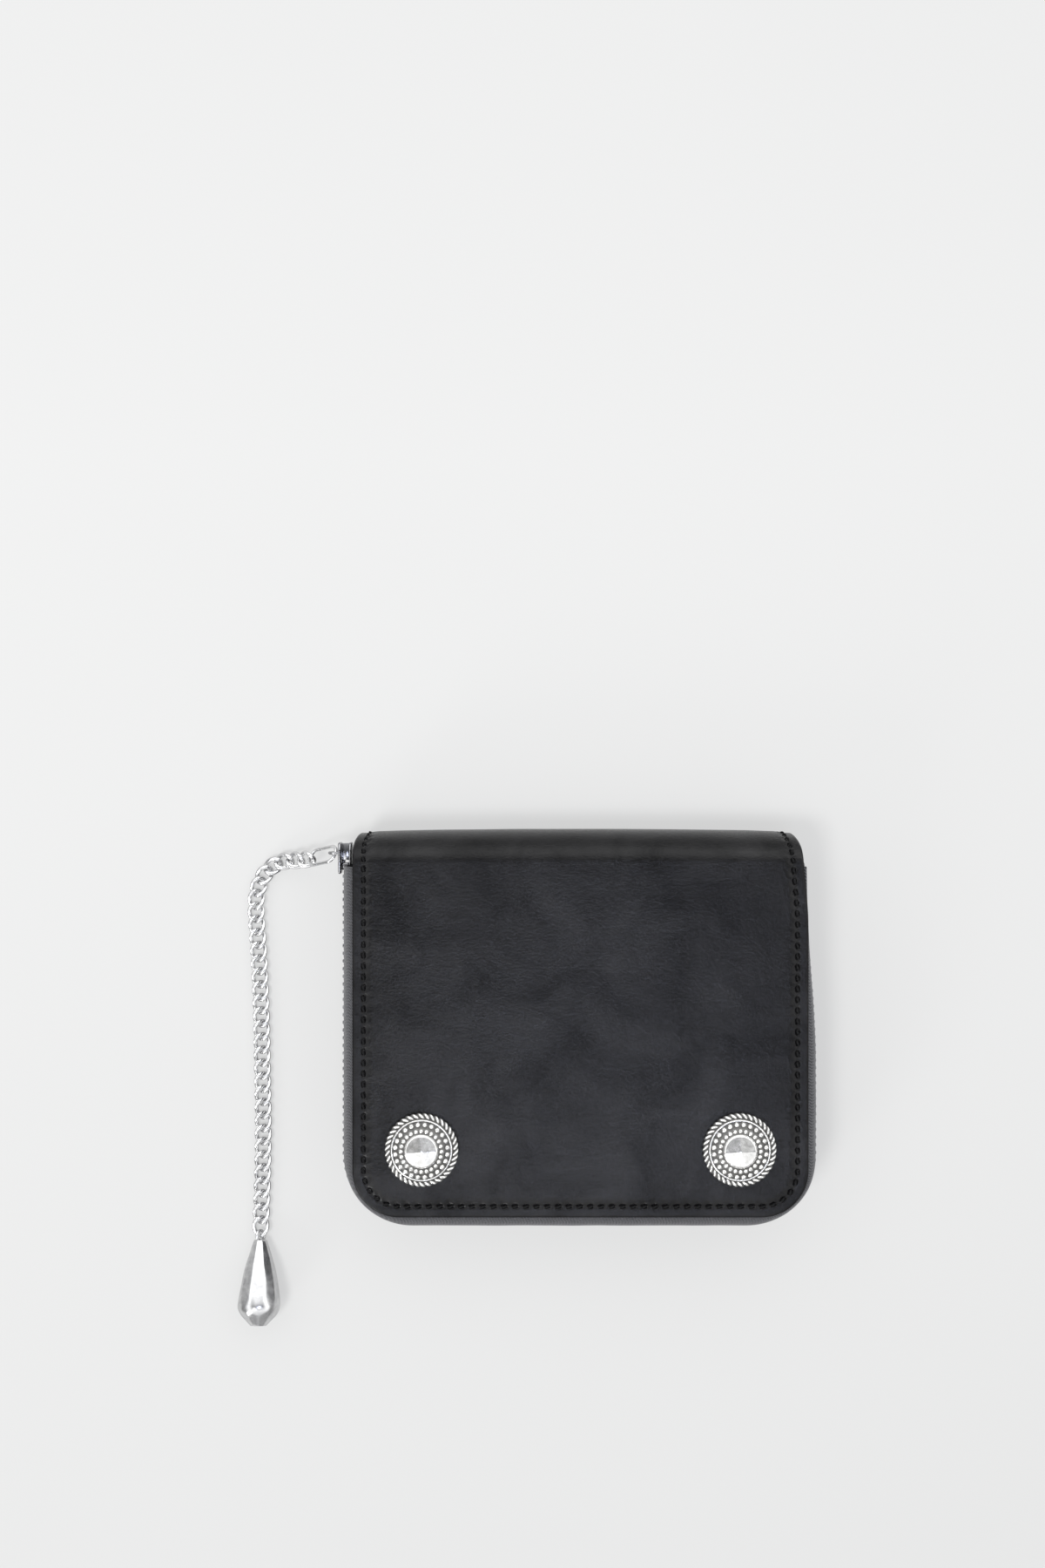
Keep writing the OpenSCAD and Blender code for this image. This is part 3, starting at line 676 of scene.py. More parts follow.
for front, nodes in ((True, ["front_lining", "spine_lining"]), (False, ["back_lining"])):
    sheet = cover_sheet(lining_inset, corner_r - lining_inset, lining_rim, lining_step, board_face,
                        half_stack, front)
    over_spine(front, nodes, side_of(front) + "_lining_sheet", sheet, lining_black)

for node in ("front_board", "back_board"):
    frame["nodes"][node].data.materials.clear()
    frame["nodes"][node].data.materials.append(board_brown)

# ---- Stitching along the cover's edge ----

seam_runs, on_seam = outline(half_w - seam_inset, seam_inset, corner_r - seam_inset, half_len)
seam_length = sum(seam_runs)
# Height of the stitches' middle line over the front and the back cover, then a stitch's own arch
stitch_level = {True: -0.22, False: -0.36}
stitch_path = [(a, -0.3 * abs(a) ** 2.5) for a in (-1, -0.8, -0.5, 0, 0.5, 0.8, 1)]


def stitch_row(spots, front):
    """Slanted stitches that dip into the leather at both ends."""
    parts = []
    for s in spots:
        (x, t), out = on_seam(*run_at(seam_runs, s))
        along, across = (-out[1], out[0]), (-out[0], -out[1])

        def put(a, c, n):
            return on_cover(x + a * along[0] + c * across[0], t + a * along[1] + c * across[1], n, front)

        half = stitch_len / 2
        path = [put(a * half, a * half * seam_slant, n + stitch_level[front]) for a, n in stitch_path]
        ups = [put(0, 0, 1.0) - put(0, 0, 0.0)] * len(path)
        parts.append(tube(path, [stitch_r * w for w in (0.45, 0.8, 1, 1, 1, 0.8, 0.45)], 8, ups=ups))
    return join_parts(parts)


stitch_spots = [(i + 0.5) * stitch_pitch for i in range(int(seam_length / stitch_pitch))]
bend_len = half_len - flat_len + 1.0
bend_spots = [s for s in stitch_spots if s < bend_len or s > seam_length - bend_len]
flat_spots = [s for s in stitch_spots if s not in bend_spots]

for front in (True, False):
    side = side_of(front)
    settle(side, "thread", [side + "_stitching"], side + "_edge_stitches", stitch_row(flat_spots, front),
           black_thread)
    over_spine(front, ["spine_stitching"] if front else [], f"spine_{side}_stitches",
               stitch_row(bend_spots, front), black_thread)


def mirrored(part):
    """The same part in the closed wallet's other half."""
    points = np.array(part[0], float)
    points[:, 2] = wallet_t - points[:, 2]
    return points, part[1]


# ---- Main zip: woven tape that comes out from under the cover's edge and turns up to the teeth ----

zip_runs, on_zip = outline(zip_hw - 0.1, zip_y0, zip_corner_r, zip_y1, zip_end_pull)
tape_foot = 4.0
on_foot = outline(half_w - tape_foot, bottom_y + tape_foot, corner_r - tape_foot, zip_y1)[1]
tape_foot_z = leather_t + 0.32
tape_lip_z = tape_top_z + 0.5
tape_steps = 22
tape_power = 2.7


def tape_line(run, share, seed):
    """The tape's section at one place along the zip, as (distance in from the tooth line, height) pairs."""
    place, out = on_zip(run, share)
    foot = on_foot(run, share)[0]
    reach = math.dist(place, foot)
    exposed = reach - tape_foot + 0.6
    wave = 0.12 * noise.noise(Vector((place[0] / 9, place[1] / 9, seed)))
    line = []
    for k in range(tape_steps + 1):
        a = math.pi / 2 * k / tape_steps
        inward = exposed * (1 - math.cos(a) ** (2 / tape_power))
        height = tape_foot_z + (tape_lip_z - tape_foot_z) * (1 - math.sin(a) ** (2 / tape_power))
        swell = math.sin(a * 2) * wave
        line.append((inward - swell, height - abs(swell) * 0.5))
    line.append((reach, tape_foot_z))
    return line, np.array(place), (np.array(foot) - np.array(place)) / reach


def zip_tape(seed):
    rows = []
    for run, share in run_spots(zip_runs, 1.0):
        line, place, inward = tape_line(run, share, seed)
        rows.append([(place[0] + inward[0] * u, place[1] + inward[1] * u, z) for u, z in line])
    centre = np.array(rows)
    along = np.gradient(centre, axis=0)
    down = np.gradient(centre, axis=1)
    normal = np.cross(along, down)
    normal /= np.linalg.norm(normal, axis=2)[:, :, None]
    thick = np.full(centre.shape[:2], tape_t / 2)
    thick[:, 0] *= 0.45
    offset = normal * thick[:, :, None]
    return solid_between(centre + offset, centre - offset)


tooth_w, tooth_head = 1.05, 2.85
tooth = moved(bevel_box((tooth_w, tooth_t, tooth_head), 0.26, 2, 0.84), (0, 0, tooth_head / 2))
stop = moved(bevel_box((1.5, tooth_t + 0.1, 1.9), 0.35, 3), (0, 0, 0.95))


def zip_spot(run, share, z):
    """Frame of a tooth: x along the zip, y outwards, z up from the tape's edge."""
    place, out = on_zip(run, share)
    return (*place, z), (-out[1], out[0], 0), (*out, 0), (0, 0, 1)


def zip_row(offset):
    count = int((sum(zip_runs) - offset) / tooth_pitch)
    return copies(tooth, [zip_spot(*run_at(zip_runs, offset + (i + 0.5) * tooth_pitch), tape_top_z)
                          for i in range(count)])


def zip_ends():
    return copies(stop, [zip_spot(run, share, tape_top_z) for run, share in ((0, 0.0), (4, 1.0))])


for side, seed, first_tooth in (("back", 5.0, 0.8), ("front", 9.0, 0.8 + tooth_pitch / 2)):
    for part, slot, name, made, material in (
            ("tape", "zip_tape", "tape_cloth", zip_tape(seed), tape_cloth),
            ("teeth", "zip_metal", "tooth_row", zip_row(first_tooth), zip_metal),
            ("stops", "zip_metal", "end_stops", zip_ends(), zip_metal)):
        settle(side, slot, [f"{side}_zip_{part}"], f"{side}_zip_{name}",
               mirrored(made) if side == "front" else made, material)

# ---- Slider of the main zip, its bail and the pull ring ----


def round_outline(points, radius, steps=6):
    """A closed outline with each of its corners rounded."""
    points = np.asarray(points, float)
    made = []
    for i, corner in enumerate(points):
        before, after = unit(points[i - 1] - corner), unit(points[(i + 1) % len(points)] - corner)
        half = math.acos(np.clip(before @ after, -1, 1)) / 2
        cut = radius / math.tan(half)
        centre = corner + unit(before + after) * radius / math.sin(half)
        start, end = corner + before * cut - centre, corner + after * cut - centre
        a0 = math.atan2(start[1], start[0])
        turn = (math.atan2(end[1], end[0]) - a0 + math.pi) % (2 * math.pi) - math.pi
        made += [centre + radius * np.array([math.cos(a), math.sin(a)])
                 for a in (a0 + turn * k / steps for k in range(steps + 1))]
    return np.array(made)


def twin_outline(upper, radius):
    """A rounded outline that is the same above and below the x axis, from its upper corners."""
    return round_outline([(x, -y) for x, y in upper] + upper[::-1], radius)


def outward(line):
    """Unit normals of a closed outline that runs anticlockwise."""
    step = np.roll(line, -1, 0) - np.roll(line, 1, 0)
    normal = np.stack([step[:, 1], -step[:, 0]], 1)
    return normal / np.linalg.norm(normal, axis=1)[:, None]


def plate(flat_outline, thickness, edge, crown=0.0):
    """A plate with rounded edges on an outline: its foot is at z = 0 and its crowned face is above."""
    centre = flat_outline.mean(0)
    normal = outward(flat_outline)
    turns = [math.pi / 2 * k / 4 for k in range(5)]
    rows = [(edge * (1 - math.sin(a)), edge * (1 - math.cos(a))) for a in turns]
    rows += [(edge * (1 - math.sin(a)), thickness - edge * (1 - math.cos(a))) for a in reversed(turns)]
    rings = [np.column_stack([flat_outline - normal * inset, np.full(len(flat_outline), z)])
             for inset, z in rows]
    last = flat_outline - normal * edge
    for share in (0.75, 0.5, 0.25):
        rings.append(np.column_stack([centre + (last - centre) * share,
                                      np.full(len(last), thickness + crown * (1 - share ** 2))]))
    return capped(rings, (*centre, 0.0), (*centre, thickness + crown))


slider_low, slider_high = box("zip_slider_body")
slider_len = slider_high[1] - slider_low[1]
slider_y = (slider_high[1] + slider_low[1]) / 2
plate_h = slider_high[2] - slider_low[2]
outer_plate_t, inner_plate_t = 0.8, 0.6
half_l, half_h = slider_len / 2, plate_h / 2
slider_shape = twin_outline([(-half_l, half_h * 0.74), (-half_l * 0.1, half_h * 0.82),
                             (half_l * 0.5, half_h), (half_l, half_h * 0.8)], 0.9)
slider_parts = [
    moved(plate(slider_shape, outer_plate_t, 0.38, 0.12), (slider_low[0] + outer_plate_t, slider_y, mid_z),
          (0, 1, 0), (0, 0, 1), (-1, 0, 0)),
    moved(plate(slider_shape, inner_plate_t, 0.25), (slider_high[0] - inner_plate_t, slider_y, mid_z),
          (0, 1, 0), (0, 0, 1), (1, 0, 0))]
lip_len = slider_len * 0.8
for x, wide in ((slider_low[0] + outer_plate_t + 0.25, 0.8), (slider_high[0] - inner_plate_t - 0.1, 0.5)):
    slider_parts.append(moved(bevel_box((wide, lip_len, 0.8), 0.2), (x, slider_y, slider_low[2] + 0.62)))
web_x = (slider_low[0] + slider_high[0]) / 2
slider_parts.append(moved(bevel_box((slider_high[0] - slider_low[0] - 1.2, 4.4, 0.5), 0.12),
                          (web_x, slider_high[1] - 2.4, mid_z)))
settle("slider", "silver", ["zip_slider_body"], "main_slider", join_parts(slider_parts), slider_metal)

bail_low, bail_high = box("zip_slider_bail")
bail_y = (bail_low[1] + bail_high[1]) / 2
bail_wire = 0.9
bail_r = (bail_high[2] - bail_low[2] - bail_wire) / 2
bail_foot_x = bail_high[0] + 0.3
bail_turn_x = bail_low[0] + bail_r + bail_wire / 2
bail_path = [(bail_foot_x, bail_y, mid_z - bail_r)]
bail_path += [(bail_turn_x - bail_r * math.sin(a), bail_y, mid_z - bail_r * math.cos(a))
              for a in np.linspace(0, math.pi, 25)]
bail_path.append((bail_foot_x, bail_y, mid_z + bail_r))
bail_section = squircle(0.58, 0.42, 3.0, 16)
settle("slider", "silver", ["zip_slider_bail"], "main_slider_bail",
       tube(bail_path, 1.0, up=(0, 1, 0), section=bail_section), slider_metal)

ring_pivot = joint_place("ring_lift")
ring_len, ring_half_w, ring_wire = 10.0, 2.3, 0.92
ring_plan, ring_slope, ring_roll = (math.radians(a) for a in (193, 40.8, 38))


def turned(points, roll, pitch, yaw):
    """Points turned about X, then Y, then Z."""
    for axis, angle in ((0, roll), (1, pitch), (2, yaw)):
        u, v = (axis + 1) % 3, (axis + 2) % 3
        points = np.array(points, float)
        a, b = points[:, u].copy(), points[:, v].copy()
        points[:, u] = a * math.cos(angle) - b * math.sin(angle)
        points[:, v] = a * math.sin(angle) + b * math.cos(angle)
    return points


ring_line = [(ring_half_w - ring_half_w * math.cos(a), ring_half_w * math.sin(a), 0)
             for a in np.linspace(-math.pi / 2, math.pi / 2, 25)]
ring_line += [(ring_len - ring_half_w + ring_half_w * math.cos(a), ring_half_w * math.sin(a), 0)
              for a in np.linspace(math.pi / 2, -math.pi / 2, 25)]
ring_path = ring_pivot + turned(ring_line, ring_roll, ring_slope, ring_plan)
ring_up = turned([(0, 0, 1)], ring_roll, ring_slope, ring_plan)[0]
settle("ring", "silver", ["pull_ring"], "oval_pull_ring",
       tube(ring_path, ring_wire / 2, 16, True, up=ring_up), polished_silver)

# ---- Curb chain: links at even steps along the route, which lies on the table after the first few ----

link_pitch, link_wire, link_w, link_play = 3.48, 1.1, 4.7, 0.2
link_reach = (link_pitch + link_wire + link_play) / 2
link_half_w = (link_w - link_wire) / 2
link_twist = math.radians(45)
link_square = 2.4
links_per_run, chain_runs = 4, 8
chain_start = joint_place("chain_bend_1")
chain_z = 1.3
on_floor = [(-80.6, 40), (-83.3, 37.6), (-85, 34.4), (-85.7, 31), (-85.6, 25), (-85.1, 18), (-84.6, 8),
            (-84.2, -4), (-84, -16), (-83.8, -28), (-83.9, -40), (-84.2, -50)]
chain_route = np.array([chain_start, (-73.8, 41, 3.9), (-77.2, 40.9, 2.2),
                        *((x, y, chain_z) for x, y in on_floor),
                        (-84.4, -56, 1.6), (-84.6, -62, 2.2), (-84.7, -66, 2.2)])


def on_table(part):
    """A part with whatever would dip below the table's top pressed flat onto it."""
    points = np.array(part[0], float)
    points[:, 2] = np.maximum(points[:, 2], 0.02)
    return points, part[1]


def spline_point(a, b, c, d, t):
    """A point on the smooth curve through b and c, at a share t of the way."""
    curve = (2 * a - 5 * b + 4 * c - d) * t * t + (3 * b - a - 3 * c + d) * t ** 3
    return 0.5 * (2 * b + (c - a) * t + curve)


def chain_pivots():
    """The places where link meets link, a pitch apart along the route."""
    last = len(chain_route) - 1
    fine = [spline_point(chain_route[max(i - 1, 0)], chain_route[i], chain_route[i + 1],
                         chain_route[min(i + 2, last)], k / 12) for i in range(last) for k in range(12)]
    pivots, i, at = [chain_start], 0, chain_start
    for _ in range(links_per_run * chain_runs):
        left = link_pitch
        while np.linalg.norm(fine[i + 1] - at) <= left:
            left -= np.linalg.norm(fine[i + 1] - at)
            i += 1
            at = fine[i]
        at = at + unit(fine[i + 1] - at) * left
        pivots.append(at)
    return pivots


def curb_link(rings=60):
    """One twisted link, centred, its length along x. Its wire is a little flatter than round."""
    line, ups = [], []
    for k in range(rings):
        a = 2 * math.pi * (k + 0.5) / rings
        x = link_reach * power_of(math.cos(a), 2 / link_square)
        w = link_half_w * power_of(math.sin(a), 2 / link_square)
        roll = link_twist * x / link_reach
        line.append((x, w * math.cos(roll), w * math.sin(roll)))
        ups.append((0, -math.sin(roll), math.cos(roll)))
    return tube(line, link_wire / 2, closed=True, ups=ups, section=squircle(1.0, 1.0, 2.5, 14))


pivots = chain_pivots()
link = curb_link()
for run in range(chain_runs):
    spots = []
    for i in range(run * links_per_run, (run + 1) * links_per_run):
        along = unit(pivots[i + 1] - pivots[i])
        side = unit(np.cross((0, 0, 1), along))
        spots.append(((pivots[i] + pivots[i + 1]) / 2, along, side, np.cross(along, side)))
    settle(f"chain_{run + 1}", "silver", [f"chain_links_{run + 1}"], f"curb_chain_run_{run + 1}",
           on_table(copies(link, spots)), polished_silver, 60)

# ---- Drop: a cast teardrop with hand-cut facets, lying on one of its flats ----

hang = joint_place("drop_swing")
drop_len = 22.4
drop_tilt = math.atan2(5.65 - 3.6, 17.2 - 7.4)
eye_r, eye_wire = 1.3, 0.8
drop_axis = np.array([0, -math.cos(drop_tilt), math.sin(drop_tilt)])
drop_right = np.array([1.0, 0, 0])
drop_up = np.cross(drop_right, drop_axis)
drop_up = drop_up if drop_up[2] > 0 else -drop_up
eye_at = hang + drop_axis * 0.7
neck_at = eye_at + drop_axis * (eye_r - 0.5)


def facet(turn, slope, s, radius):
    """A flat cut: its direction round the axis and its slope in degrees, through (s, radius)."""
    flat, slant = math.cos(math.radians(slope)), math.sin(math.radians(slope))
    return math.radians(turn), flat, slant, radius * flat + s * slant


drop_turns = (86, 127, 172, 222, 270, 318, 6, 49)
drop_facets = [facet(turn, -17.5, 0, 1.57) for turn in drop_turns]
drop_facets += [facet(turn, -9.6, 17.2, 5.67) for turn in drop_turns]
drop_facets += [facet(turn + 20, 6, 17.6, 5.68) for turn in drop_turns]
drop_facets += [facet(turn - 4, 24, 18.6, 5.3) for turn in drop_turns]
drop_facets += [facet(turn + 14, 43, 20.5, 3.75) for turn in drop_turns]
drop_facets += [facet(90, 90, drop_len, 0)]


def drop_radius(turn, s):
    """Distance from the axis to the facets that way, with their edges a little worn."""
    power, total = 26.0, 0.0
    for aim, flat, slant, distance in drop_facets:
        lean = flat * math.cos(turn - aim)
        if lean > 0.05:
            total += (max((distance - s * slant) / lean, 0.02)) ** -power
    rough = 0.05 * noise.noise(Vector((math.cos(turn) * 1.3, math.sin(turn) * 1.3, s / 2.6)))
    return total ** (-1 / power) + rough


def drop_body(rows=110, sides=144):
    rings = []
    for i in range(rows):
        s = drop_len * i / (rows - 1)
        shrink = min(1.0, 0.55 + 0.45 * math.sqrt(min(1.0, s / 0.5)))
        ring = []
        for a in turns_of(sides):
            r = drop_radius(a, min(s, drop_len - 0.02)) * shrink
            ring.append(neck_at + drop_axis * s + r * (math.cos(a) * drop_right + math.sin(a) * drop_up))
        rings.append(ring)
    return capped(rings, neck_at, neck_at + drop_axis * drop_len)


eye_side = unit(drop_right * math.cos(math.radians(45)) + drop_up * math.sin(math.radians(-45)))
eye_line = [eye_at + eye_r * (math.cos(a) * drop_axis + math.sin(a) * eye_side)
            for a in turns_of(40)]
drop_eye = tube(eye_line, eye_wire / 2, 14, True, up=np.cross(drop_axis, eye_side))
settle("drop", "silver", ["drop_pendant"], "faceted_drop", on_table(join_parts([drop_body(), drop_eye])),
       drop_silver, 30)

# ---- Conchos: a domed cast rosette with a rope border, a ridge, two bead rings and a faceted cone ----

concho_low, concho_high = box("right_concho_rosette")
concho_place = (concho_low + concho_high) / 2
concho_r = (concho_high[0] - concho_low[0]) / 2
concho_h = concho_high[2] - concho_low[2]
rope_line_r, rope_line_z, rope_strand_r, rope_offset, rope_turns = concho_r - 0.86, 0.92, 0.36, 0.52, 19
ridge_r, ridge_z, ridge_half = 7.6, 1.75, 0.25
# Radius of each ring, radius and height of its beads, their number and their phase
bead_rings = [(5.15, 0.61, 3.1, 24, 0.0), (6.62, 0.72, 2.3, 24, 0.5)]
cone_r, cone_foot, cone_rim_z = 4.3, 3.1, 3.9
cone_ridges = [-68, 2, 96, 187]


def rope_strand(which):
    """One of the rope's two strands, wound round its middle line."""
    steps = rope_turns * 14
    path, ups = [], []
    for k in range(steps):
        a = 2 * math.pi * k / steps
        lean = -rope_turns * a + which * math.pi
        r = rope_line_r + rope_offset * math.cos(lean)
        path.append((r * math.cos(a), r * math.sin(a), rope_line_z + rope_offset * math.sin(lean)))
        ups.append((math.cos(lean) * math.cos(a), math.cos(lean) * math.sin(a), math.sin(lean)))
    return tube(path, rope_strand_r, 10, True, ups=ups)


def round_rib(r, z, half):
    """A raised ring of round section."""
    return tube([(r * math.cos(a), r * math.sin(a), z) for a in turns_of(96)], half, 12, True)


def dish():
    """The rosette's domed body, which shows between the rope, the ridge and the beads."""
    return lathe([(0, 0), (concho_r - 0.9, 0), (concho_r - 0.45, 0.25), (concho_r - 0.4, 0.75), (8.75, 1.05),
                  (8.25, 1.15), (7.95, 1.45), (7.6, 1.62), (7.2, 1.62), (6.62, 1.85), (6.0, 2.25),
                  (5.6, 2.5), (5.07, 2.65), (4.5, 2.95), (4.2, 3.2), (0, 3.3)], 96)


def cone():
    """Shallow cone whose flat facets meet in soft ridges, with a rounded rim."""
    rows, sides = 18, 120
    around = cone_ridges + [cone_ridges[0] + 360]
    facets = [((a + b) / 2, (b - a) / 2) for a, b in zip(around, around[1:])]
    slope = (concho_h - cone_rim_z) / cone_r
    rings = []
    for i in range(rows):
        r = cone_r * (1 - i / rows) ** 0.8
        ring = []
        for k in range(sides):
            turn = 360 * k / sides
            # Each facet is a plane through the tip that falls to the rim's height at its two ridges
            falls = [max(0.0, math.cos(math.radians(turn - aim))) / math.cos(math.radians(span))
                     for aim, span in facets]
            fall = sum(v ** 24 for v in falls) ** (1 / 24)
            z = concho_h - slope * r * fall - 0.3 * smoothstep(r, cone_r - 0.4, cone_r)
            a = math.radians(turn)
            ring.append((r * math.cos(a), r * math.sin(a), z))
        rings.append(ring)
    foot = np.array(rings[0]) * [1, 1, 0] + [0, 0, cone_foot]
    return capped([foot, *rings], (0, 0, cone_foot), (0, 0, concho_h))


def beads(r, size, z, count, phase):
    outs = [(math.cos(a), math.sin(a)) for a in (2 * math.pi * (k + phase) / count for k in range(count))]
    spots = [((r * u, r * v, z), (u, v, 0), (-v, u, 0), (0, 0, 1)) for u, v in outs]
    return copies(ball(size, 10, 16, (1.04, 0.96, 0.95)), spots)


dark_body = join_parts([dish(), round_rib(rope_line_r, rope_line_z - 0.1, 0.6)])
rosette = join_parts([dark_body, round_rib(ridge_r, ridge_z, ridge_half), cone(),
                      rope_strand(0), rope_strand(1), *(beads(*ring) for ring in bead_rings)])
for side, name in ((-1, "left"), (1, "right")):
    place = (side * concho_place[0], concho_place[1], wallet_t)
    cast = settle("front", "antique_silver", [name + "_concho_rosette"], name + "_concho_cast",
                  moved(rosette, place), worn_silver, 40)
    cast.data.materials.append(dark_silver)
    for face in cast.data.polygons[:len(dark_body[1])]:
        face.material_index = 1
    for part in ("screw", "washer"):
        plain = frame["nodes"][f"{name}_concho_{part}"].data.materials
        plain.clear()
        plain.append(steel)

# ---- Inside: bill pocket, card slots and the coin pocket ----

edge_steps = np.array([0, 0.06, 0.16, 0.3, 0.5, 0.9, 1.4, 1.8, 2.0, 2.2, 2.6, 3.2, 4.0])
crease_inset = 2.0


def line_steps(low, high, step, cuts=()):
    """Grid lines from low to high: close together beside both ends and each cut, even between them."""
    marks = sorted([low, high, *cuts])
    lines = []
    for a, b in zip(marks, marks[1:]):
        near = edge_steps[edge_steps < (b - a) / 2]
        middle = np.linspace(a + near[-1], b - near[-1], max(2, int((b - a - 2 * near[-1]) / step) + 1))
        lines += [a + v for v in near] + list(middle[1:-1]) + [b - v for v in reversed(near)]
    return np.unique(np.round(lines, 4))


def cells_of(xs, ys, keep):
    """For each cell of a grid, whether keep(x, y) says so at its middle."""
    return [[keep((x0 + x1) / 2, (y0 + y1) / 2) for x0, x1 in zip(xs, xs[1:])] for y0, y1 in zip(ys, ys[1:])]


def panel(xs, ys, keep, top, under):
    """A closed leather panel on grid lines, where keep(x, y) says so, between two heights."""
    flat = [grid.ravel() for grid in np.meshgrid(xs, ys)]
    faces = [np.column_stack([*flat, height(*flat)]).reshape(len(ys), len(xs), 3) for height in (top, under)]
    return solid_between(*faces, cells_of(xs, ys, keep))


def rounding(d, r):
    """How far a rounded edge drops at distance d from it."""
    d = np.clip(d, 0, r)
    return r - np.sqrt(r * r - (r - d) ** 2)


def crease(d, inset=crease_inset):
    return 0.14 * np.exp(-((d - inset) / 0.22) ** 2)


def stitch_line(start, end, z, up):
    """Straight row of stitches on a panel's face."""
    start, end = np.array(start, float), np.array(end, float)
    count = int(np.linalg.norm(end - start) / stitch_pitch)
    along = unit(end - start)
    across = np.array([-along[1], along[0]])
    parts = []
    half = stitch_len / 2
    for i in range(count):
        middle = start + along * (i + 0.5) * np.linalg.norm(end - start) / count
        path = [(*(middle + (along + across * 0.15) * a * half), z + up * (n + 0.12))
                for a, n in stitch_path]
        parts.append(tube(path, [0.2 * w for w in (0.7, 0.92, 1, 1, 1, 0.92, 0.7)], 6))
    return join_parts(parts)


def pocket(node, seed, gap, seams_from):
    """A flat pocket: sewn down at its sides and foot, and open at its top, where its lip stands off."""
    low, high = box(node)
    xs, ys = line_steps(low[0], high[0], 3.0), line_steps(low[1], high[1], 3.0)

    def heights(x, y):
        side = np.minimum(x - low[0], high[0] - x)
        mouth = high[1] - y
        foot = y - low[1]
        return side, mouth, foot

    def top(x, y):
        side, mouth, foot = heights(x, y)
        d = np.minimum(np.minimum(side, foot), mouth)
        wave = 0.1 * rumple(x, y, 22, seed) * smoothstep(d, 3, 9)
        creases = crease(mouth) + crease(np.minimum(side, foot))
        return high[2] - rounding(d, 0.3) - creases + np.minimum(wave, 0)

    def under(x, y):
        side, mouth, foot = heights(x, y)
        lift = smoothstep(np.minimum(side, foot), 2.6, 4.5)
        return low[2] + 0.02 + gap * lift + rounding(mouth, 0.25)

    settle("back", "lining_leather", [node], node + "_leather",
           panel(xs, ys, lambda x, y: True, top, under), pocket_black)
    rows = []
    for side in (-1, 1):
        x = side * (high[0] - crease_inset)
        rows.append(stitch_line((x, seams_from), (x, high[1] - 3), high[2] - 0.1, 1))
    if node in ("card_pocket_4", "bill_pocket_panel"):
        y = low[1] + crease_inset
        rows.append(stitch_line((low[0] + 3, y), (high[0] - 3, y), high[2] - 0.1, 1))
    return join_parts(rows)


pocket_stitches = []
card_nodes = [f"card_pocket_{i}" for i in range(1, 5)]
for i, node in enumerate(card_nodes):
    foot = box(card_nodes[i + 1])[1][1] + 1 if i + 1 < len(card_nodes) else box(node)[0][1] + 3
    pocket_stitches.append(pocket(node, 70.0 + i, 0.4, foot))
pocket_stitches.append(pocket("bill_pocket_panel", 80.0, 0.4, box("bill_pocket_panel")[0][1] + 3))
settle("back", "thread", [], "pocket_stitches", join_parts(pocket_stitches), black_thread)

# The coin pocket hangs from the front lining: its face looks down at rest
gusset_low, gusset_high = box("coin_pocket_gusset")
face_low, face_high = box("coin_pocket_face")
flap_low, flap_high = box("coin_pocket_flap")
coin_zip_y = face_high[1]
coin_slot = 3.4
coin_window_hw = 42.0
coin_z = face_low[2]


def in_window(x, y):
    return abs(x) < coin_window_hw and abs(y - coin_zip_y) < coin_slot


def coin_panel(low, high, cuts):
    xs = line_steps(low[0], high[0], 3.0, (-coin_window_hw, coin_window_hw))
    ys = line_steps(low[1], high[1], 3.0, cuts)

    def distance(x, y):
        outer = np.minimum(np.minimum(x - gusset_low[0], gusset_high[0] - x),
                           np.minimum(y - gusset_low[1], gusset_high[1] - y))
        window = np.maximum(np.abs(x) - coin_window_hw, np.abs(y - coin_zip_y) - coin_slot)
        return outer, window

    def face(x, y):
        outer, window = distance(x, y)
        near = np.minimum(outer, np.maximum(window, 0))
        wave = 0.12 * rumple(x, y, 20, 90.0) * smoothstep(near, 3, 9)
        return coin_z + rounding(near, 0.3) + crease(outer) + crease(window, 1.4) + np.maximum(wave, 0)

    def back(x, y):
        outer, window = distance(x, y)
        return face_high[2] - rounding(np.minimum(outer, np.maximum(window, 0)), 0.2)

    return panel(xs, ys, lambda x, y: not in_window(x, y), face, back)


for part, low, high, side in (("face", face_low, face_high, -1), ("flap", flap_low, flap_high, 1)):
    settle("front", "lining_leather", ["coin_pocket_" + part], f"coin_pocket_{part}_leather",
           coin_panel(low, high, (coin_zip_y + side * coin_slot,)), pocket_black)

coin_rows = []
for x in (gusset_low[0] + crease_inset, gusset_high[0] - crease_inset):
    coin_rows.append(stitch_line((x, gusset_low[1] + 3), (x, gusset_high[1] - 3), coin_z + 0.1, -1))
for y in (gusset_low[1] + crease_inset, gusset_high[1] - crease_inset):
    coin_rows.append(stitch_line((gusset_low[0] + 3, y), (gusset_high[0] - 3, y), coin_z + 0.1, -1))
for y in (coin_zip_y - coin_slot - 1.4, coin_zip_y + coin_slot + 1.4):
    coin_rows.append(stitch_line((-coin_window_hw, y), (coin_window_hw, y), coin_z + 0.1, -1))
settle("front", "thread", [], "coin_pocket_stitches", join_parts(coin_rows), black_thread)


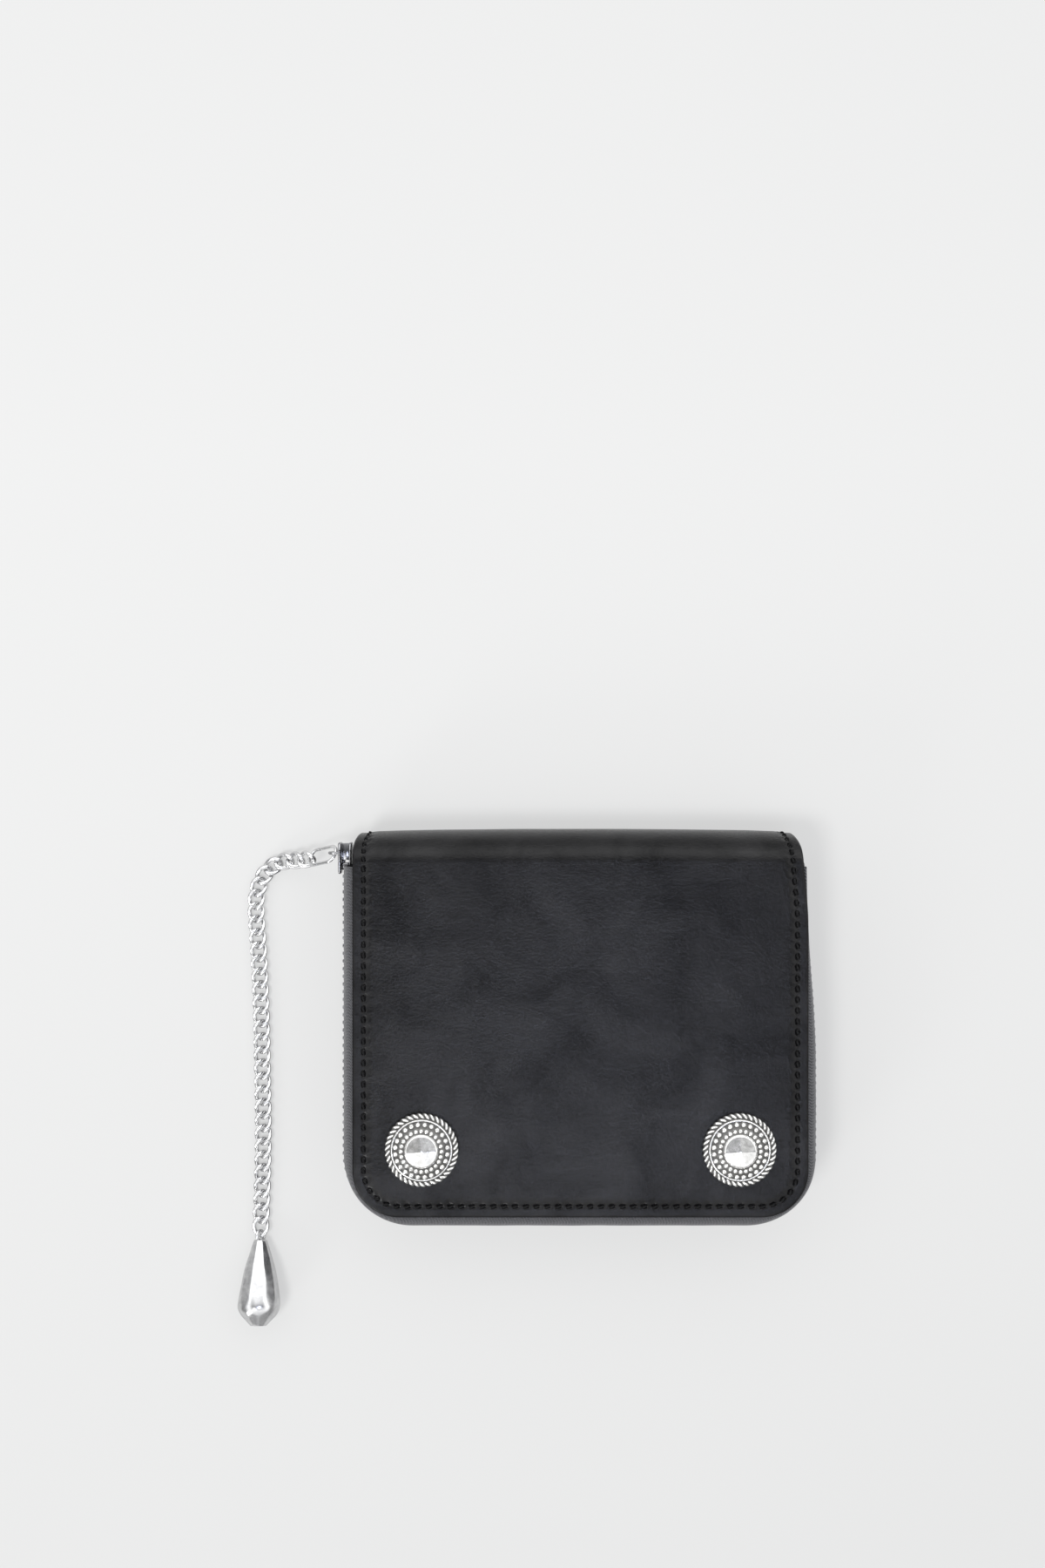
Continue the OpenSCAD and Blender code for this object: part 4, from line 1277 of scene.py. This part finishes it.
def gusset():
    """Folded wall of the coin pocket, all round under its face."""
    hx, hy = (gusset_high[0] - gusset_low[0]) / 2, (gusset_high[1] - gusset_low[1]) / 2
    middle_y = (gusset_high[1] + gusset_low[1]) / 2
    ring = round_outline([(-hx, -hy), (hx, -hy), (hx, hy), (-hx, hy)], 2.0)
    normal = outward(ring)
    z0, z1 = gusset_low[2], gusset_high[2]
    fold, thick = 0.55, 0.28
    depths = np.linspace(0, 1, 13)
    wall = [(0.3 + fold * math.sin(math.pi * v) ** 1.5, z0 + (z1 - z0) * v) for v in depths]
    rings = [np.column_stack([ring - normal * (c + shift), np.full(len(ring), z)])
             for shift, run in ((-thick, wall), (thick, wall[::-1])) for c, z in run]
    return np.concatenate(rings) + [0, middle_y, 0], ring_faces(len(rings), len(ring), True)


settle("front", "lining_leather", ["coin_pocket_gusset"], "coin_pocket_gusset_leather", gusset(),
       gusset_cloth)

# ---- Coin zip ----

coin_tape_low, coin_tape_high = box("coin_zip_tapes")
coin_zip_z = (coin_tape_low[2] + coin_tape_high[2]) / 2
coin_pitch, coin_tooth_t, coin_tooth_h, coin_tooth_w, row_gap = 1.6, 1.6, 1.5, 0.9, 1.0


def coin_tape(side):
    across = np.linspace(row_gap / 2 + coin_tooth_h * 0.7, coin_slot, 7)
    x, y = np.meshgrid(np.linspace(-coin_window_hw, coin_window_hw, 57), coin_zip_y + side * across)
    z = coin_zip_z + 0.04 * np.sin(x / 5 + side)
    return solid_between(np.stack([x, y, z + 0.2], -1), np.stack([x, y, z - 0.2], -1))


settle("front", "zip_tape", ["coin_zip_tapes"], "coin_zip_tape_cloth",
       join_parts([coin_tape(-1), coin_tape(1)]), tape_cloth)

coin_tooth = bevel_box((coin_tooth_w * 0.86, coin_tooth_t, coin_tooth_h + 0.75), 0.2, 2, 0.8)
coin_count = int(2 * (coin_window_hw - 2) / coin_pitch)
coin_spots = []
for side in (-1, 1):
    for i in range(coin_count):
        x = -coin_window_hw + 2 + (i + 0.25 + side / 4) * coin_pitch + coin_tooth_w / 2
        y = coin_zip_y + side * (row_gap / 2 + coin_tooth_h - (coin_tooth_h + 0.75) / 2)
        coin_spots.append(((x, y, coin_zip_z), (1, 0, 0), (0, 0, side), (0, -side, 0)))
settle("front", "zip_metal", ["coin_zip_teeth"], "coin_zip_tooth_rows", copies(coin_tooth, coin_spots),
       zip_metal)

coin_stop = bevel_box((1.2, coin_tooth_h, coin_tooth_t), 0.25, 2)
coin_stop_spots = [[(end * (coin_window_hw - 0.9), coin_zip_y + side * (row_gap + coin_tooth_h) / 2,
                     coin_zip_z)] for end in (-1, 1) for side in (-1, 1)]
settle("front", "zip_metal", ["coin_zip_stops"], "coin_zip_end_stops", copies(coin_stop, coin_stop_spots),
       zip_metal)

coin_low, coin_high = box("coin_slider_body")
coin_len, coin_wide = coin_high[0] - coin_low[0], coin_high[1] - coin_low[1]
coin_x = (coin_high[0] + coin_low[0]) / 2
coin_shape = twin_outline([(-coin_len / 2, coin_wide * 0.5), (coin_len * 0.1, coin_wide * 0.5),
                           (coin_len / 2, coin_wide * 0.36)], 0.8)
coin_parts = [moved(plate(coin_shape, 0.8, 0.3, 0.1), (coin_x, coin_zip_y, coin_low[2] + 0.8),
                    az=(0, 0, -1)),
              moved(plate(coin_shape, 0.5, 0.2), (coin_x, coin_zip_y, coin_high[2] - 0.5)),
              moved(bevel_box((1.6, 0.5, coin_high[2] - coin_low[2] - 0.9), 0.1),
                    (coin_low[0] + 1.0, coin_zip_y, (coin_high[2] + coin_low[2] + 0.3) / 2))]
settle("coin_slider", "silver", ["coin_slider_body"], "coin_slider_shell", join_parts(coin_parts), steel)

coin_bail_low, coin_bail_high = box("coin_slider_bail")
coin_eye_r, coin_eye_wire = 1.0, 0.7
coin_turn_z = coin_bail_low[2] + coin_eye_r + coin_eye_wire / 2
coin_bail_path = [(coin_x - coin_eye_r, coin_zip_y, coin_bail_high[2] + 0.2)]
coin_bail_path += [(coin_x - coin_eye_r * math.cos(a), coin_zip_y, coin_turn_z - coin_eye_r * math.sin(a))
                   for a in np.linspace(0, math.pi, 21)]
coin_bail_path.append((coin_x + coin_eye_r, coin_zip_y, coin_bail_high[2] + 0.2))
settle("coin_slider", "silver", ["coin_slider_bail"], "coin_slider_bail_loop",
       tube(coin_bail_path, 1.0, up=(0, 1, 0), section=squircle(0.33, 0.35, 2.6, 14)), steel)

tab_low, tab_high = box("coin_pull_tab")
tab_z = (tab_low[2] + tab_high[2]) / 2
tab_wide, tab_thick = tab_high[1] - tab_low[1], tab_high[2] - tab_low[2]
tab_end = tab_high[0] - coin_x


def pull_tab():
    """Flat tab with a wide slot at the bail and a round end."""
    hole_x, hole_y = (0.42, 2.0), 1.1
    xs = np.unique(np.concatenate([np.linspace(-0.4, tab_end, 43), hole_x]))
    hole_share = hole_y / (tab_wide / 2)
    shares = np.unique(np.concatenate([np.linspace(-1, 1, 25), [-hole_share, hole_share]]))
    grid_x, grid_s = np.meshgrid(xs, shares)

    def half_width(x):
        end = np.clip((x - (tab_end - 1.6)) / 1.6, 0, 1)
        start = np.clip((-x) / 0.4, 0, 1)
        neck = (0.86 + 0.14 * smoothstep(x, 0, 4)) * (1 - 0.08 * start)
        return tab_wide / 2 * neck * np.sqrt(1 - 0.72 * end ** 2)

    grid_y = grid_s * half_width(grid_x)
    edge = np.minimum(half_width(grid_x) - np.abs(grid_y), np.minimum(grid_x + 0.4, tab_end - grid_x))
    thick = tab_thick / 2 - rounding(edge, 0.3)
    layers = [np.stack([grid_x, grid_y, face * thick], -1) for face in (1, -1)]
    kept = cells_of(xs, shares, lambda x, s: not (hole_x[0] < x < hole_x[1] and abs(s) < hole_share))
    return solid_between(*layers, kept)


settle("coin_tab", "silver", ["coin_pull_tab"], "coin_tab_plate",
       moved(pull_tab(), (coin_x, coin_zip_y, tab_z)), steel)

# ---- Table, light ----


def table():
    size, cells = 6000.0, 24
    lines = np.linspace(-size, size, cells + 1)
    points = [(x, y, 0) for y in lines for x in lines]
    row = cells + 1
    corners = [i * row + j for i in range(cells) for j in range(cells)]
    faces = [(a, a + 1, a + row + 1, a + row) for a in corners]
    return np.array(points), faces


floor = mesh_piece("table", table(), floor_material())


def softbox(name, place, aim, size, watts, color=(1, 1, 1)):
    """A rectangular soft light, placed and aimed in millimetres."""
    data = bpy.data.lights.new(name, "AREA")
    data.shape = "RECTANGLE"
    data.size, data.size_y = size[0] * MM, size[1] * MM
    data.energy = watts
    data.color = color
    light = bpy.data.objects.new(name, data)
    light.location = Vector(place) * MM
    light.rotation_euler = (Vector(aim) - Vector(place)).to_track_quat("-Z", "Y").to_euler()
    bpy.context.scene.collection.objects.link(light)
    return light


softbox("key", (-390, -500, 1395), (0, 0, 0), (400, 400), 1.9)
softbox("patch", (55, -143, 800), (10, -20, 24), (55, 210), 0.74, (0.73, 0.79, 1.0))
softbox("low_left", (-800, -930, 480), (0, 0, 0), (420, 320), 7.0)
table_light = softbox("table_light", (-500, -330, 1395), (0, 0, 0), (360, 360), 18.5, (1.0, 0.995, 0.985))
lit = bpy.data.collections.new("lit_table")
lit.objects.link(floor)
table_light.light_linking.receiver_collection = lit

# A tent of light: dim straight above, bright at mid height, and brighter behind the spine than at the sides
world = bpy.data.worlds.new("studio")
bpy.context.scene.world = world
world.use_nodes = True
sky = world.node_tree
aim = shader(sky, "SeparateXYZ", {0: shader(sky, "TexCoord").outputs["Generated"]})
across = shader(sky, "Math", {0: aim.outputs["X"]}, operation="ABSOLUTE").outputs[0]
forward = shader(sky, "Math", {0: aim.outputs["Y"]}, operation="ABSOLUTE").outputs[0]
one = shader(sky, "Value").outputs[0]
one.default_value = 1.0
low = sum_of(sky, one, aim.outputs["Y"], across, weights=[1.0, 0.4, -0.6])
middle = sum_of(sky, one, aim.outputs["Y"], aim.outputs["X"], weights=[1.75, 0.75, 0.1])
top = sum_of(sky, one, forward, weights=[0.05, 2.9])


def faded(first, second, start, end):
    """Moves from one brightness to another between two heights in the sky."""
    share = spread(sky, aim.outputs["Z"], 0, 1, start, end)
    mixed = shader(sky, "Mix", {0: share, 2: first, 3: second})
    return mixed.outputs[0]


tent = faded(faded(low, middle, 0.25, 0.5), top, 0.72, 0.90)
seen = shader(sky, "LightPath").outputs["Is Camera Ray"]
glow = shader(sky, "Mix", {0: seen, 2: tent}).outputs[0]
glow.node.inputs[3].default_value = 0.86
sky.links.new(glow, sky.nodes["Background"].inputs["Strength"])
sky.nodes["Background"].inputs["Color"].default_value = (0.99, 0.995, 1.0, 1)
